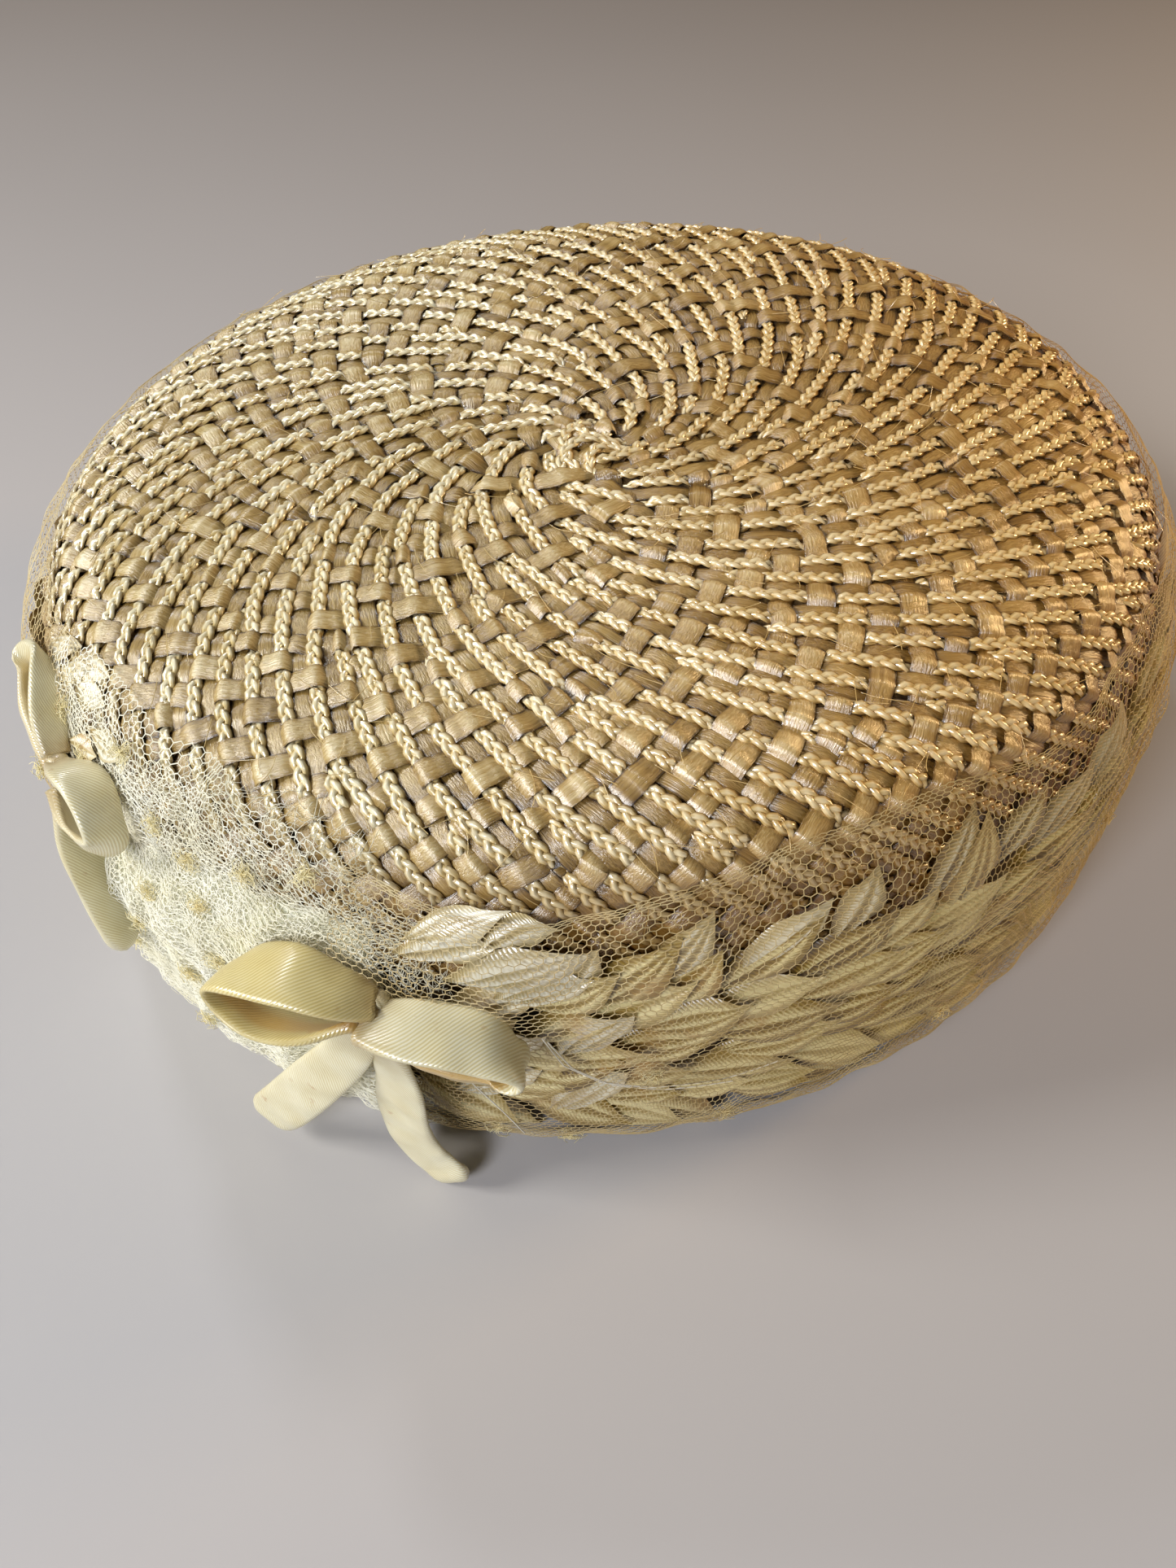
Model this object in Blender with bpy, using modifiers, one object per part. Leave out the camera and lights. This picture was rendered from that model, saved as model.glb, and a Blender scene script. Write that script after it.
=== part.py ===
"""A woven straw cap with a wreath of satin leaves under a net veil, and two satin bows.

Metres, +Z up. The cap rests on its straw rim on the plane z = 0, with the middle of its
whole outline over the origin. The plan is a slightly long oval. The bows and the gathered
tulle between them sit at the front left of the cap, and the leaves run round the rest.
"""
import math
from collections import namedtuple

import bmesh
import bpy
import numpy as np
from mathutils import Matrix, Vector

MM = 0.001

# Driving dimensions of the cap
MEAN_RADIUS = 92.0 * MM           # the veil at its widest, as if the plan were round
HEIGHT = 72.2 * MM
OVAL = 1.064                      # the long axis is this much longer than the mean
LONG_AXIS = math.radians(17)      # turn of the long axis from +X
WAIST = 10.9 * MM                 # height at which the side is widest
RIM_PULL = 0.972                  # the rim's radius over the widest radius
STRAW_WALL = 2.0 * MM
STRAW_RADIUS = 0.94 * MEAN_RADIUS
STRAW_ROUNDING = (7.0, 7.5)       # how square the shoulder is, across and upwards
VEIL_ROUNDING = (6.0, 5.0)
GAP = 0.3 * MM                    # between pieces that touch
CROWN_SIDES = 40

# Lengths along the straw surface, from the rim, at which its wall turns, in millimetres
STRAW_STATIONS = [0, 5, 11, 46, 52, 56, 60, 64, 68, 75, 96]

# Veil: a thin skin over the leaves, from the shoulder to the rim
VEIL_WALL = 1.0 * MM
VEIL_FIRST_ANGLE = math.radians(251.6)
VEIL_LAST_ANGLE = math.radians(213.8 + 360)
VEIL_SIDES = 36
VeilRow = namedtuple("VeilRow", "along clearance")     # millimetres along and off the straw
VEIL_ROWS = [
    VeilRow(2.4, 2.8),
    VeilRow(5.0, 4.2),
    VeilRow(11.0, 4.5),
    VeilRow(46.0, 4.1),
    VeilRow(52.0, 3.2),
    VeilRow(60.0, 2.1),
    VeilRow(64.0, 1.4),
    VeilRow(68.0, 0.6),
    VeilRow(70.5, 0.35),
]

# Gathered tulle: the bunched end of the veil between the two bows
TULLE_FIRST_ANGLE = math.radians(214.2)
TULLE_LAST_ANGLE = math.radians(251.2)
TULLE_SIDES = 8
TulleRow = namedtuple("TulleRow", "along thickness")
TULLE_ROWS = [
    TulleRow(2.6, 3.4),
    TulleRow(5.0, 4.6),
    TulleRow(11.0, 5.1),
    TulleRow(46.0, 4.7),
    TulleRow(52.0, 4.0),
    TulleRow(56.0, 3.4),
    TulleRow(60.0, 2.9),
    TulleRow(64.0, 2.4),
    TulleRow(68.0, 1.9),
    TulleRow(72.0, 1.5),
    TulleRow(76.0, 1.2),
]
TULLE_FOLDS = 4                   # soft ridges across the bunched width
TULLE_FOLD_DEPTH = 0.35 * MM
TULLE_FOLD_FADE = 3.0             # the ridges fade where the tulle is thinner than this, millimetres
TULLE_DROP = 6.0                  # how much lower, in millimetres, its upper edge is at the front bow
TULLE_HEM = 6.0                   # rows nearer the rim than this, in millimetres, stay level

# Wreath: sprays of leaves on a short stem, in three rows one above another
LEAF_LENGTH = 23.0 * MM
LEAF_WIDTH = 8.6 * MM
LEAF_THICKNESS = 1.1 * MM
LEAF_TURNS = [(0.0, 0.16), (0.3, 0.86), (0.62, 1.0), (1.0, 0.08)]   # share of length, share of width
LEAVES_PER_SPRAY = 3
SPRAYS_PER_ROW = 12
STEM_THICKNESS = 1.1 * MM
STEM_REACH = 2.2 * MM             # past the outer leaves of a spray
LEAF_SEAT = 0.65                  # height of a leaf's base in its stem, as a share of the stem
WREATH_INSET = math.radians(1.15)  # from the veil's end to the first leaf
SprayRow = namedtuple("SprayRow", "name base_along slope tip_clearance")
SPRAY_ROWS = [
    SprayRow("upper", 43.0 * MM, math.radians(46), 1.35 * MM),
    SprayRow("middle", 27.0 * MM, math.radians(24), 3.3 * MM),
    SprayRow("lower", 17.5 * MM, math.radians(-20), 3.3 * MM),
]

# Bows: bands of satin tube. Across runs round the cap from the bow's angle, up is the height
# above the rest plane, off is the distance outside the veil, and the width points along the
# three last columns (across, up, off). All in millimetres.
BAND_THICKNESS = 2.2 * MM
BAND_SIDES = 8
BAND_SQUARENESS = (0.6, 0.8)      # powers that flatten the band's oval section, wide and deep
BAND_CAP = [(0.45, 0.86), (0.75, 0.5)]   # free end: reach past the end in thicknesses, share of size
KNOT_BEVEL = 1.1 * MM
Station = namedtuple("Station", "across up off width w_across w_up w_off")

FRONT_BOW_ANGLE = math.radians(253.5)
FRONT_KNOT = dict(across=0.0, up=46.4, off=3.5, size=(3.2, 10.0, 4.4), lean=math.radians(-12))
FRONT_LEFT_LOOP = [
    Station(-2.7, 50.0, 4.4, 5.0, 0.1, 0.00, 1.0),
    Station(-6.0, 52.6, 5.5, 8.4, 0.1, 0.00, 1.0),
    Station(-11.0, 53.2, 5.6, 9.2, 0.2, 0.00, 1.0),
    Station(-16.0, 51.0, 5.4, 8.8, 0.1, 0.25, 1.0),
    Station(-19.8, 46.8, 5.2, 8.4, 0.1, 0.70, 0.8),
    Station(-18.4, 42.6, 5.8, 8.4, 0.1, 1.00, 0.55),
    Station(-13.0, 40.6, 6.2, 8.4, 0.0, 1.00, 0.30),
    Station(-7.5, 41.4, 6.0, 8.0, 0.0, 1.00, 0.30),
    Station(-2.7, 43.8, 5.0, 5.2, 0.0, 1.00, 0.40),
]
FRONT_RIGHT_LOOP = [
    Station(2.7, 48.6, 4.4, 5.0, 0.0, 0.00, 1.0),
    Station(6.5, 48.4, 5.3, 8.2, 0.0, -0.05, 1.0),
    Station(11.5, 47.9, 5.4, 9.0, 0.0, -0.05, 1.0),
    Station(16.5, 46.4, 5.4, 8.8, 0.0, -0.05, 1.0),
    Station(20.6, 42.0, 5.6, 8.2, 0.1, 0.55, 0.9),
    Station(18.6, 38.2, 5.8, 8.0, 0.1, 0.90, 0.6),
    Station(13.0, 37.6, 5.8, 7.8, 0.0, 0.95, 0.45),
    Station(7.5, 39.6, 5.4, 7.0, 0.0, 0.95, 0.45),
    Station(2.7, 43.4, 4.4, 4.6, 0.0, 0.90, 0.5),
]
FRONT_LEFT_TAIL = [
    Station(-0.8, 40.2, 2.5, 4.2, 1.0, -0.2, 0.1),
    Station(-4.0, 33.0, 3.0, 7.2, 0.9, -0.42, 0.1),
    Station(-9.0, 23.5, 4.6, 8.2, 0.9, -0.45, 0.2),
    Station(-14.0, 14.0, 6.2, 8.2, 0.9, -0.45, 0.2),
    Station(-18.0, 6.6, 7.2, 7.8, 0.9, -0.42, 0.2),
]
FRONT_RIGHT_TAIL = [
    Station(3.4, 36.4, 3.4, 4.2, 1.0, 0.0, 0.3),
    Station(3.4, 29.5, 4.0, 6.6, 1.0, 0.0, 0.35),
    Station(2.6, 20.0, 4.2, 7.4, 1.0, 0.1, 0.4),
    Station(3.2, 11.0, 4.6, 7.2, 1.0, 0.15, 0.3),
    Station(5.6, 5.0, 5.6, 6.8, 1.0, 0.15, 0.1),
    Station(9.2, 2.4, 7.6, 6.4, 1.0, 0.05, -0.4),
]

SIDE_BOW_ANGLE = math.radians(215.5)
SIDE_KNOT = dict(across=0.0, up=52.0, off=3.4, size=(3.2, 9.0, 4.0), lean=math.radians(-10))
SIDE_UPPER_LOOP = [
    Station(-2.7, 54.8, 4.2, 4.4, 0.0, 0.3, 1.0),
    Station(-7.0, 58.2, 5.4, 7.4, 0.0, 0.3, 1.0),
    Station(-12.0, 59.4, 5.6, 7.8, 0.0, 0.35, 1.0),
    Station(-17.0, 56.6, 5.4, 7.4, 0.1, 0.70, 0.9),
    Station(-14.6, 51.4, 5.4, 7.2, 0.1, 0.95, 0.5),
    Station(-8.4, 48.8, 5.4, 7.0, 0.0, 1.0, 0.4),
    Station(-2.7, 49.4, 4.6, 4.6, 0.0, 1.0, 0.4),
]
SIDE_LOWER_LOOP = [
    Station(2.7, 54.8, 4.2, 4.4, 0.0, 0.3, 1.0),
    Station(7.0, 57.8, 5.4, 7.6, 0.0, 0.25, 1.0),
    Station(12.0, 58.0, 5.6, 8.0, 0.0, 0.25, 1.0),
    Station(17.0, 55.8, 5.5, 7.8, 0.0, 0.4, 1.0),
    Station(20.0, 51.8, 5.4, 7.4, -0.1, 0.7, 0.9),
    Station(16.0, 47.8, 5.6, 7.2, -0.1, 0.9, 0.6),
    Station(9.0, 47.0, 5.6, 6.8, 0.0, 0.95, 0.5),
    Station(2.7, 49.2, 4.6, 4.6, 0.0, 0.95, 0.5),
]
SIDE_TAIL = [
    Station(0.8, 46.0, 2.2, 4.2, 1.0, 0.3, 0.1),
    Station(5.0, 40.6, 2.2, 6.4, 0.8, 0.6, 0.1),
    Station(10.5, 35.6, 2.8, 7.4, 0.75, 0.6, 0.2),
    Station(15.0, 29.4, 3.6, 7.4, 0.85, 0.4, 0.35),
]


def clear_scene():
    """Removes every object of the scene this runs in."""
    for old in list(bpy.data.objects):
        bpy.data.objects.remove(old)


def new_material(name, colour, roughness, sheen=0.0):
    """A plain dyed fibre or fabric."""
    made = bpy.data.materials.new(name)
    made.use_nodes = True
    shader = made.node_tree.nodes["Principled BSDF"]
    shader.inputs["Base Color"].default_value = (*colour, 1.0)
    shader.inputs["Roughness"].default_value = roughness
    shader.inputs["Metallic"].default_value = 0.0
    shader.inputs["Sheen Weight"].default_value = sheen
    return made


def dome_profile(widest, rounding, samples=360):
    """Radius and height of a flat-topped dome, from its rim to the middle of its top."""
    across, upwards = rounding
    low = np.linspace(0, math.pi / 2, samples // 6)[:-1]
    low_radius = widest * (RIM_PULL + (1 - RIM_PULL) * np.sin(low))
    low_height = WAIST * low / (math.pi / 2)
    turn = np.linspace(0, math.pi / 2, samples)
    radius = widest * np.abs(np.cos(turn)) ** (2 / across)
    radius[-1] = 0.0
    height = WAIST + (HEIGHT - WAIST) * np.sin(turn) ** (2 / upwards)
    return np.concatenate([low_radius, radius]), np.concatenate([low_height, height])


STRAW_R, STRAW_Z = dome_profile(STRAW_RADIUS, STRAW_ROUNDING)
STRAW_S = np.concatenate([[0], np.cumsum(np.hypot(np.diff(STRAW_R), np.diff(STRAW_Z)))])
VEIL_R, VEIL_Z = dome_profile(MEAN_RADIUS, VEIL_ROUNDING)


def off_straw(along, clearance):
    """Radius and height of a point that far along the straw from the rim and off its surface."""
    step = 0.2 * MM
    before, after = max(along - step, 0), min(along + step, STRAW_S[-1])
    run = np.interp(after, STRAW_S, STRAW_R) - np.interp(before, STRAW_S, STRAW_R)
    rise = np.interp(after, STRAW_S, STRAW_Z) - np.interp(before, STRAW_S, STRAW_Z)
    length = math.hypot(run, rise)
    radius = np.interp(along, STRAW_S, STRAW_R) + clearance * rise / length
    height = np.interp(along, STRAW_S, STRAW_Z) - clearance * run / length
    return radius, height


def on_oval(angle, radius, height):
    """A point of the round plan, moved to the oval plan."""
    long_way = radius * math.cos(angle - LONG_AXIS) * OVAL
    short_way = radius * math.sin(angle - LONG_AXIS) / OVAL
    flat = Matrix.Rotation(LONG_AXIS, 2) @ Vector((long_way, short_way))
    return Vector((flat.x, flat.y, height))


def straw_point(angle, along, clearance):
    """A point off the straw surface."""
    return on_oval(angle, *off_straw(along, clearance))


def veil_point(bow_angle, across, up, off):
    """A point outside the veil, measured from a bow's angle round the cap."""
    radius = np.interp(up, VEIL_Z, VEIL_R) + off
    return on_oval(bow_angle + across / MEAN_RADIUS, radius, up)


def new_object(name, mesh, material, collection):
    """Links an object that holds the mesh."""
    made = bpy.data.objects.new(name, mesh)
    made.data.materials.append(material)
    collection.objects.link(made)
    return made


def loft(name, rings):
    """A closed mesh through rings of points, with both ends filled."""
    shape = bmesh.new()
    rows = [[shape.verts.new(point) for point in ring] for ring in rings]
    count = len(rows[0])
    for near, far in zip(rows, rows[1:]):
        for i in range(count):
            j = (i + 1) % count
            shape.faces.new((near[i], near[j], far[j], far[i]))
    shape.faces.new(rows[0])
    shape.faces.new(rows[-1])
    bmesh.ops.recalc_face_normals(shape, faces=shape.faces)
    mesh = bpy.data.meshes.new(name)
    shape.to_mesh(mesh)
    shape.free()
    mesh.set_sharp_from_angle(angle=math.radians(50))
    return mesh


def fuse(name, meshes, material, collection):
    """Joins overlapping meshes into one body with a Boolean union."""
    helpers = bpy.data.collections.new(name + " pieces")
    bpy.context.scene.collection.children.link(helpers)
    first = bpy.data.objects.new(name + " first", meshes[0])
    bpy.context.scene.collection.objects.link(first)
    for mesh in meshes[1:]:
        helpers.objects.link(bpy.data.objects.new(mesh.name, mesh))
    union = first.modifiers.new("Union", "BOOLEAN")
    union.operation = "UNION"
    union.operand_type = "COLLECTION"
    union.collection = helpers
    evaluated = first.evaluated_get(bpy.context.evaluated_depsgraph_get())
    joined = bpy.data.meshes.new_from_object(evaluated)
    joined.materials.clear()
    for piece in [first, *helpers.objects]:
        bpy.data.objects.remove(piece)
    bpy.data.collections.remove(helpers)
    return new_object(name, joined, material, collection)


def build_straw_crown(material, collection):
    """The woven straw shell: a turned wall, open below, stretched to the oval."""
    outer = [off_straw(along * MM, 0) for along in STRAW_STATIONS]
    inner = [off_straw(along * MM, -STRAW_WALL) for along in STRAW_STATIONS[1:]]
    profile = [(0, HEIGHT)] + outer[::-1]
    profile += [(outer[0][0] - STRAW_WALL, 0)] + inner + [(0, HEIGHT - STRAW_WALL)]
    mesh = bpy.data.meshes.new("straw_crown")
    points = [(radius, 0, height) for radius, height in profile]
    mesh.from_pydata(points, [(i, i + 1) for i in range(len(points) - 1)], [])
    crown = new_object("straw_crown", mesh, material, collection)
    turn = crown.modifiers.new("Turn", "SCREW")
    turn.steps = CROWN_SIDES
    turn.render_steps = CROWN_SIDES
    turn.use_merge_vertices = True
    turn.merge_threshold = 0.00005
    crown.rotation_euler.z = LONG_AXIS
    crown.scale = (OVAL, 1 / OVAL, 1)
    return crown


def build_veil(material, collection):
    """The net over the leaves, as one thin skin that stops at the gathered tulle."""
    rings = []
    for angle in np.linspace(VEIL_FIRST_ANGLE, VEIL_LAST_ANGLE, VEIL_SIDES + 1):
        inner = [straw_point(angle, row.along * MM, row.clearance * MM) for row in VEIL_ROWS]
        outer = [straw_point(angle, row.along * MM, row.clearance * MM + VEIL_WALL) for row in VEIL_ROWS]
        rings.append(inner + outer[::-1])
    return new_object("veil", loft("veil", rings), material, collection)


def build_gathered_tulle(material, collection):
    """The bunched tulle between the bows, thick at the side and thin over the shoulder."""
    rings = []
    for step in range(TULLE_SIDES + 1):
        share = step / TULLE_SIDES
        angle = TULLE_FIRST_ANGLE + share * (TULLE_LAST_ANGLE - TULLE_FIRST_ANGLE)
        fold = TULLE_FOLD_DEPTH * math.cos(2 * math.pi * TULLE_FOLDS * share)
        squeeze = 1 - TULLE_DROP * share ** 2 / TULLE_ROWS[-1].along
        inner, outer = [], []
        for row in TULLE_ROWS:
            along = row.along * MM * (1 if row.along < TULLE_HEM else squeeze)
            ridge = fold * min(1, row.thickness / TULLE_FOLD_FADE)
            inner.append(straw_point(angle, along, GAP))
            outer.append(straw_point(angle, along, GAP + row.thickness * MM + ridge))
        rings.append(inner + outer[::-1])
    return new_object("gathered_tulle", loft("gathered_tulle", rings), material, collection)


def leaf_mesh(name, angle, row):
    """One pointed leaf, thickest along its middle rib, that rises from its stem to its tip."""
    base_clearance = GAP + STEM_THICKNESS * LEAF_SEAT
    rings = []
    for share, width_share in LEAF_TURNS:
        along_leaf = share * LEAF_LENGTH
        half_width = width_share * LEAF_WIDTH / 2
        half_depth = max(width_share, 0.35) * LEAF_THICKNESS / 2
        clearance = base_clearance + share * (row.tip_clearance - base_clearance)
        ring = []
        for side, lift in ((-1, 0), (0, 1), (1, 0), (0, -1)):
            across = along_leaf * math.cos(row.slope) - side * half_width * math.sin(row.slope)
            up = along_leaf * math.sin(row.slope) + side * half_width * math.cos(row.slope)
            leaf_angle = angle + across / MEAN_RADIUS
            ring.append(straw_point(leaf_angle, row.base_along + up, clearance + lift * half_depth))
        rings.append(ring)
    return loft(name, rings)


def stem_mesh(name, first_angle, last_angle, row):
    """The short stem that the leaves of one spray grow from."""
    middle = GAP + STEM_THICKNESS / 2
    half = STEM_THICKNESS / 2
    reach = STEM_REACH / MEAN_RADIUS
    rings = []
    for angle in np.linspace(first_angle - reach, last_angle + reach, 5):
        ring = []
        for rise, lift in ((-half, -half), (0, half), (half, -half)):
            ring.append(straw_point(angle, row.base_along + rise, middle + lift))
        rings.append(ring)
    return loft(name, rings)


def build_sprays(materials, collection):
    """The wreath: rows of sprays from the front bow right round to the side bow, a material a row."""
    room = LEAF_LENGTH / MEAN_RADIUS
    start = VEIL_FIRST_ANGLE + WREATH_INSET
    pitch = (VEIL_LAST_ANGLE - start - room) / (SPRAYS_PER_ROW * LEAVES_PER_SPRAY - 1)
    for row, material in zip(SPRAY_ROWS, materials):
        for spray in range(SPRAYS_PER_ROW):
            name = f"leaf_spray_{row.name}_{spray + 1:02d}"
            first = start + spray * LEAVES_PER_SPRAY * pitch
            angles = [first + leaf * pitch for leaf in range(LEAVES_PER_SPRAY)]
            pieces = [stem_mesh(name + " stem", angles[0], angles[-1], row)]
            pieces += [leaf_mesh(f"{name} leaf {i}", angle, row) for i, angle in enumerate(angles)]
            fuse(name, pieces, material, collection)


def smooth_stations(stations, steps=2):
    """Passes a Catmull-Rom curve through every column of a band's table."""
    table = np.array(stations, float)
    padded = np.vstack([2 * table[0] - table[1], table, 2 * table[-1] - table[-2]])
    rows = []
    for i in range(1, len(padded) - 2):
        a, b, c, d = padded[i - 1:i + 3]
        for step in range(steps):
            t = step / steps
            rows.append(0.5 * (2 * b + (c - a) * t + (2 * a - 5 * b + 4 * c - d) * t ** 2
                               + (3 * b - a - 3 * c + d) * t ** 3))
    rows.append(table[-1])
    return [Station(*row) for row in rows]


def band_ring(centre, forward, width_way, width, thickness):
    """A flattened oval section of a band of satin tube."""
    width_way = (width_way - forward * width_way.dot(forward)).normalized()
    depth_way = forward.cross(width_way).normalized()
    ring = []
    for i in range(BAND_SIDES):
        turn = 2 * math.pi * i / BAND_SIDES
        wide = math.copysign(abs(math.cos(turn)) ** BAND_SQUARENESS[0], math.cos(turn)) * width / 2
        deep = math.copysign(abs(math.sin(turn)) ** BAND_SQUARENESS[1], math.sin(turn)) * thickness / 2
        ring.append(centre + width_way * wide + depth_way * deep)
    return ring


def build_band(name, bow_angle, stations, free_end, material, collection):
    """One loop or tail of a bow, swept through its table."""
    rows = smooth_stations(stations)
    centres, width_ways = [], []
    for row in rows:
        place = [row.across * MM, row.up * MM, row.off * MM]
        tilt = [row.w_across * MM, row.w_up * MM, row.w_off * MM]
        centre = veil_point(bow_angle, *place)
        beside = veil_point(bow_angle, *[a + b for a, b in zip(place, tilt)])
        centres.append(centre)
        width_ways.append((beside - centre).normalized())
    rings = []
    for i, row in enumerate(rows):
        forward = (centres[min(i + 1, len(rows) - 1)] - centres[max(i - 1, 0)]).normalized()
        rings.append(band_ring(centres[i], forward, width_ways[i], row.width * MM, BAND_THICKNESS))
    if free_end:
        width = rows[-1].width * MM
        for reach, share in BAND_CAP:
            centre = centres[-1] + forward * reach * BAND_THICKNESS
            rings.append(band_ring(centre, forward, width_ways[-1], width * share, BAND_THICKNESS * share))
    return new_object(name, loft(name, rings), material, collection)


def build_knot(name, bow_angle, knot, material, collection):
    """The tight wrap in the middle of a bow, a rounded block that the bands meet."""
    mesh = bpy.data.meshes.new(name)
    shape = bmesh.new()
    bmesh.ops.create_cube(shape, size=1.0)
    shape.to_mesh(mesh)
    shape.free()
    centre = veil_point(bow_angle, knot["across"] * MM, knot["up"] * MM, knot["off"] * MM)
    across = veil_point(bow_angle, (knot["across"] + 1) * MM, knot["up"] * MM, knot["off"] * MM) - centre
    across.normalize()
    up = Vector((0, 0, 1))
    turn = Matrix((across, up, across.cross(up))).transposed() @ Matrix.Rotation(knot["lean"], 3, "X")
    size = Matrix.Diagonal(Vector(knot["size"]) * MM)
    mesh.transform(Matrix.Translation(centre) @ (turn @ size).to_4x4())
    made = new_object(name, mesh, material, collection)
    round_edges = made.modifiers.new("Rounded", "BEVEL")
    round_edges.width = KNOT_BEVEL
    round_edges.segments = 1
    return made


def centre_on_origin(collection):
    """Moves the whole cap so that the middle of its outline stands over the origin."""
    bpy.context.view_layer.update()
    graph = bpy.context.evaluated_depsgraph_get()
    corners = []
    for piece in collection.objects:
        evaluated = piece.evaluated_get(graph)
        corners += [evaluated.matrix_world @ vertex.co for vertex in evaluated.data.vertices]
    middle = [(min(c[i] for c in corners) + max(c[i] for c in corners)) / 2 for i in range(2)]
    for piece in collection.objects:
        piece.location.x -= middle[0]
        piece.location.y -= middle[1]


def main():
    clear_scene()
    cap = bpy.data.collections.new("juliet_cap")
    bpy.context.scene.collection.children.link(cap)
    straw = new_material("raffia straw", (0.46, 0.29, 0.13), 0.42)
    net = new_material("cream tulle net", (0.72, 0.62, 0.45), 0.6, sheen=0.3)
    tulle = new_material("white gathered tulle", (0.80, 0.76, 0.64), 0.8, sheen=0.4)
    satin_leaf = new_material("ivory satin leaf", (0.80, 0.73, 0.56), 0.35, sheen=0.2)
    organza_leaf = new_material("lemon beige organza leaf", (0.72, 0.62, 0.42), 0.4, sheen=0.3)
    satin = new_material("butter cream satin", (0.86, 0.77, 0.54), 0.32, sheen=0.2)

    build_straw_crown(straw, cap)
    build_sprays([satin_leaf, organza_leaf, organza_leaf], cap)
    build_veil(net, cap)
    build_gathered_tulle(tulle, cap)

    build_knot("front_bow_knot", FRONT_BOW_ANGLE, FRONT_KNOT, satin, cap)
    build_band("front_bow_left_loop", FRONT_BOW_ANGLE, FRONT_LEFT_LOOP, False, satin, cap)
    build_band("front_bow_right_loop", FRONT_BOW_ANGLE, FRONT_RIGHT_LOOP, False, satin, cap)
    build_band("front_bow_left_tail", FRONT_BOW_ANGLE, FRONT_LEFT_TAIL, True, satin, cap)
    build_band("front_bow_right_tail", FRONT_BOW_ANGLE, FRONT_RIGHT_TAIL, True, satin, cap)

    build_knot("side_bow_knot", SIDE_BOW_ANGLE, SIDE_KNOT, satin, cap)
    build_band("side_bow_upper_loop", SIDE_BOW_ANGLE, SIDE_UPPER_LOOP, False, satin, cap)
    build_band("side_bow_lower_loop", SIDE_BOW_ANGLE, SIDE_LOWER_LOOP, False, satin, cap)
    build_band("side_bow_tail", SIDE_BOW_ANGLE, SIDE_TAIL, True, satin, cap)

    centre_on_origin(cap)


main()
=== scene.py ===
"""Dresses the straw cap: its woven crown, leaf wreath, net veil, gathered tulle and satin bows."""

import logging
import math
from collections.abc import Callable
from dataclasses import dataclass, field
from enum import Enum
from functools import cached_property, partial
from typing import Any, NamedTuple

import bmesh
import bpy
import numpy as np
from bpy.types import Collection, Material, Mesh, NodeSocket, NodeTree, Object
from mathutils import Matrix, Vector


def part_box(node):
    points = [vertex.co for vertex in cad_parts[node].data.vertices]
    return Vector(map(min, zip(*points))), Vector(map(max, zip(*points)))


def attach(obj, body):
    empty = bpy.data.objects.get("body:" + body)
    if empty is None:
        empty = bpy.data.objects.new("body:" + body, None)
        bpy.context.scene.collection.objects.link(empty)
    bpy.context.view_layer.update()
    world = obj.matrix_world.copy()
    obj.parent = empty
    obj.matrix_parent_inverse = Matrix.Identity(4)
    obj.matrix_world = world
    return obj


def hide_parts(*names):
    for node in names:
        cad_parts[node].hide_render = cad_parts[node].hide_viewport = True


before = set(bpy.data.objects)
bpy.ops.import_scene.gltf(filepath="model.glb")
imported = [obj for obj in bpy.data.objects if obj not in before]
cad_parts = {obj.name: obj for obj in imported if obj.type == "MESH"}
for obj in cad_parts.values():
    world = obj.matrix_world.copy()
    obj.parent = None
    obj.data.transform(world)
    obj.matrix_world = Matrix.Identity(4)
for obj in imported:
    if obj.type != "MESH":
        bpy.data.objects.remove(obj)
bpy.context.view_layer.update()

LOG = logging.getLogger("straw_cap")
MM = 0.001
FULL_TURN = 2 * math.pi
Array = np.ndarray
Rows = tuple[tuple[float, ...], ...]
Stops = tuple[tuple[float, str], ...]


class Layer(Enum):
    """The kinds of strand in the weave."""

    BRAID = "braid"
    FLAT = "flat"
    CROSSING = "crossing"


def linear(code: str) -> tuple[float, float, float, float]:
    """Turns an sRGB hex colour to linear values.

    Args:
        code: the colour, such as "#C8A870".

    Returns:
        Linear red, green, blue, and an alpha of 1.
    """
    values = [int(code[i:i + 2], 16) / 255 for i in (1, 3, 5)]
    red, green, blue = [v / 12.92 if v <= 0.04045 else ((v + 0.055) / 1.055) ** 2.4 for v in values]
    return red, green, blue, 1.0


def swell(across: Array, along: Array, length: float, seed: int) -> Array:
    """A smooth random surface made of crossing waves.

    Args:
        across: first coordinate of each point.
        along: second coordinate of each point, in the same unit.
        length: the typical distance from one crest to the next.
        seed: fixes the waves.

    Returns:
        A height for each point, mostly between -1 and 1.
    """
    rng = np.random.default_rng(seed)
    total = np.zeros(np.broadcast(across, along).shape)
    for _ in range(7):
        way, shift = rng.uniform(0, FULL_TURN, 2)
        step = length * rng.uniform(0.7, 1.6)
        total += np.sin(FULL_TURN * (across * math.cos(way) + along * math.sin(way)) / step + shift)
    return total / 3.2


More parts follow.
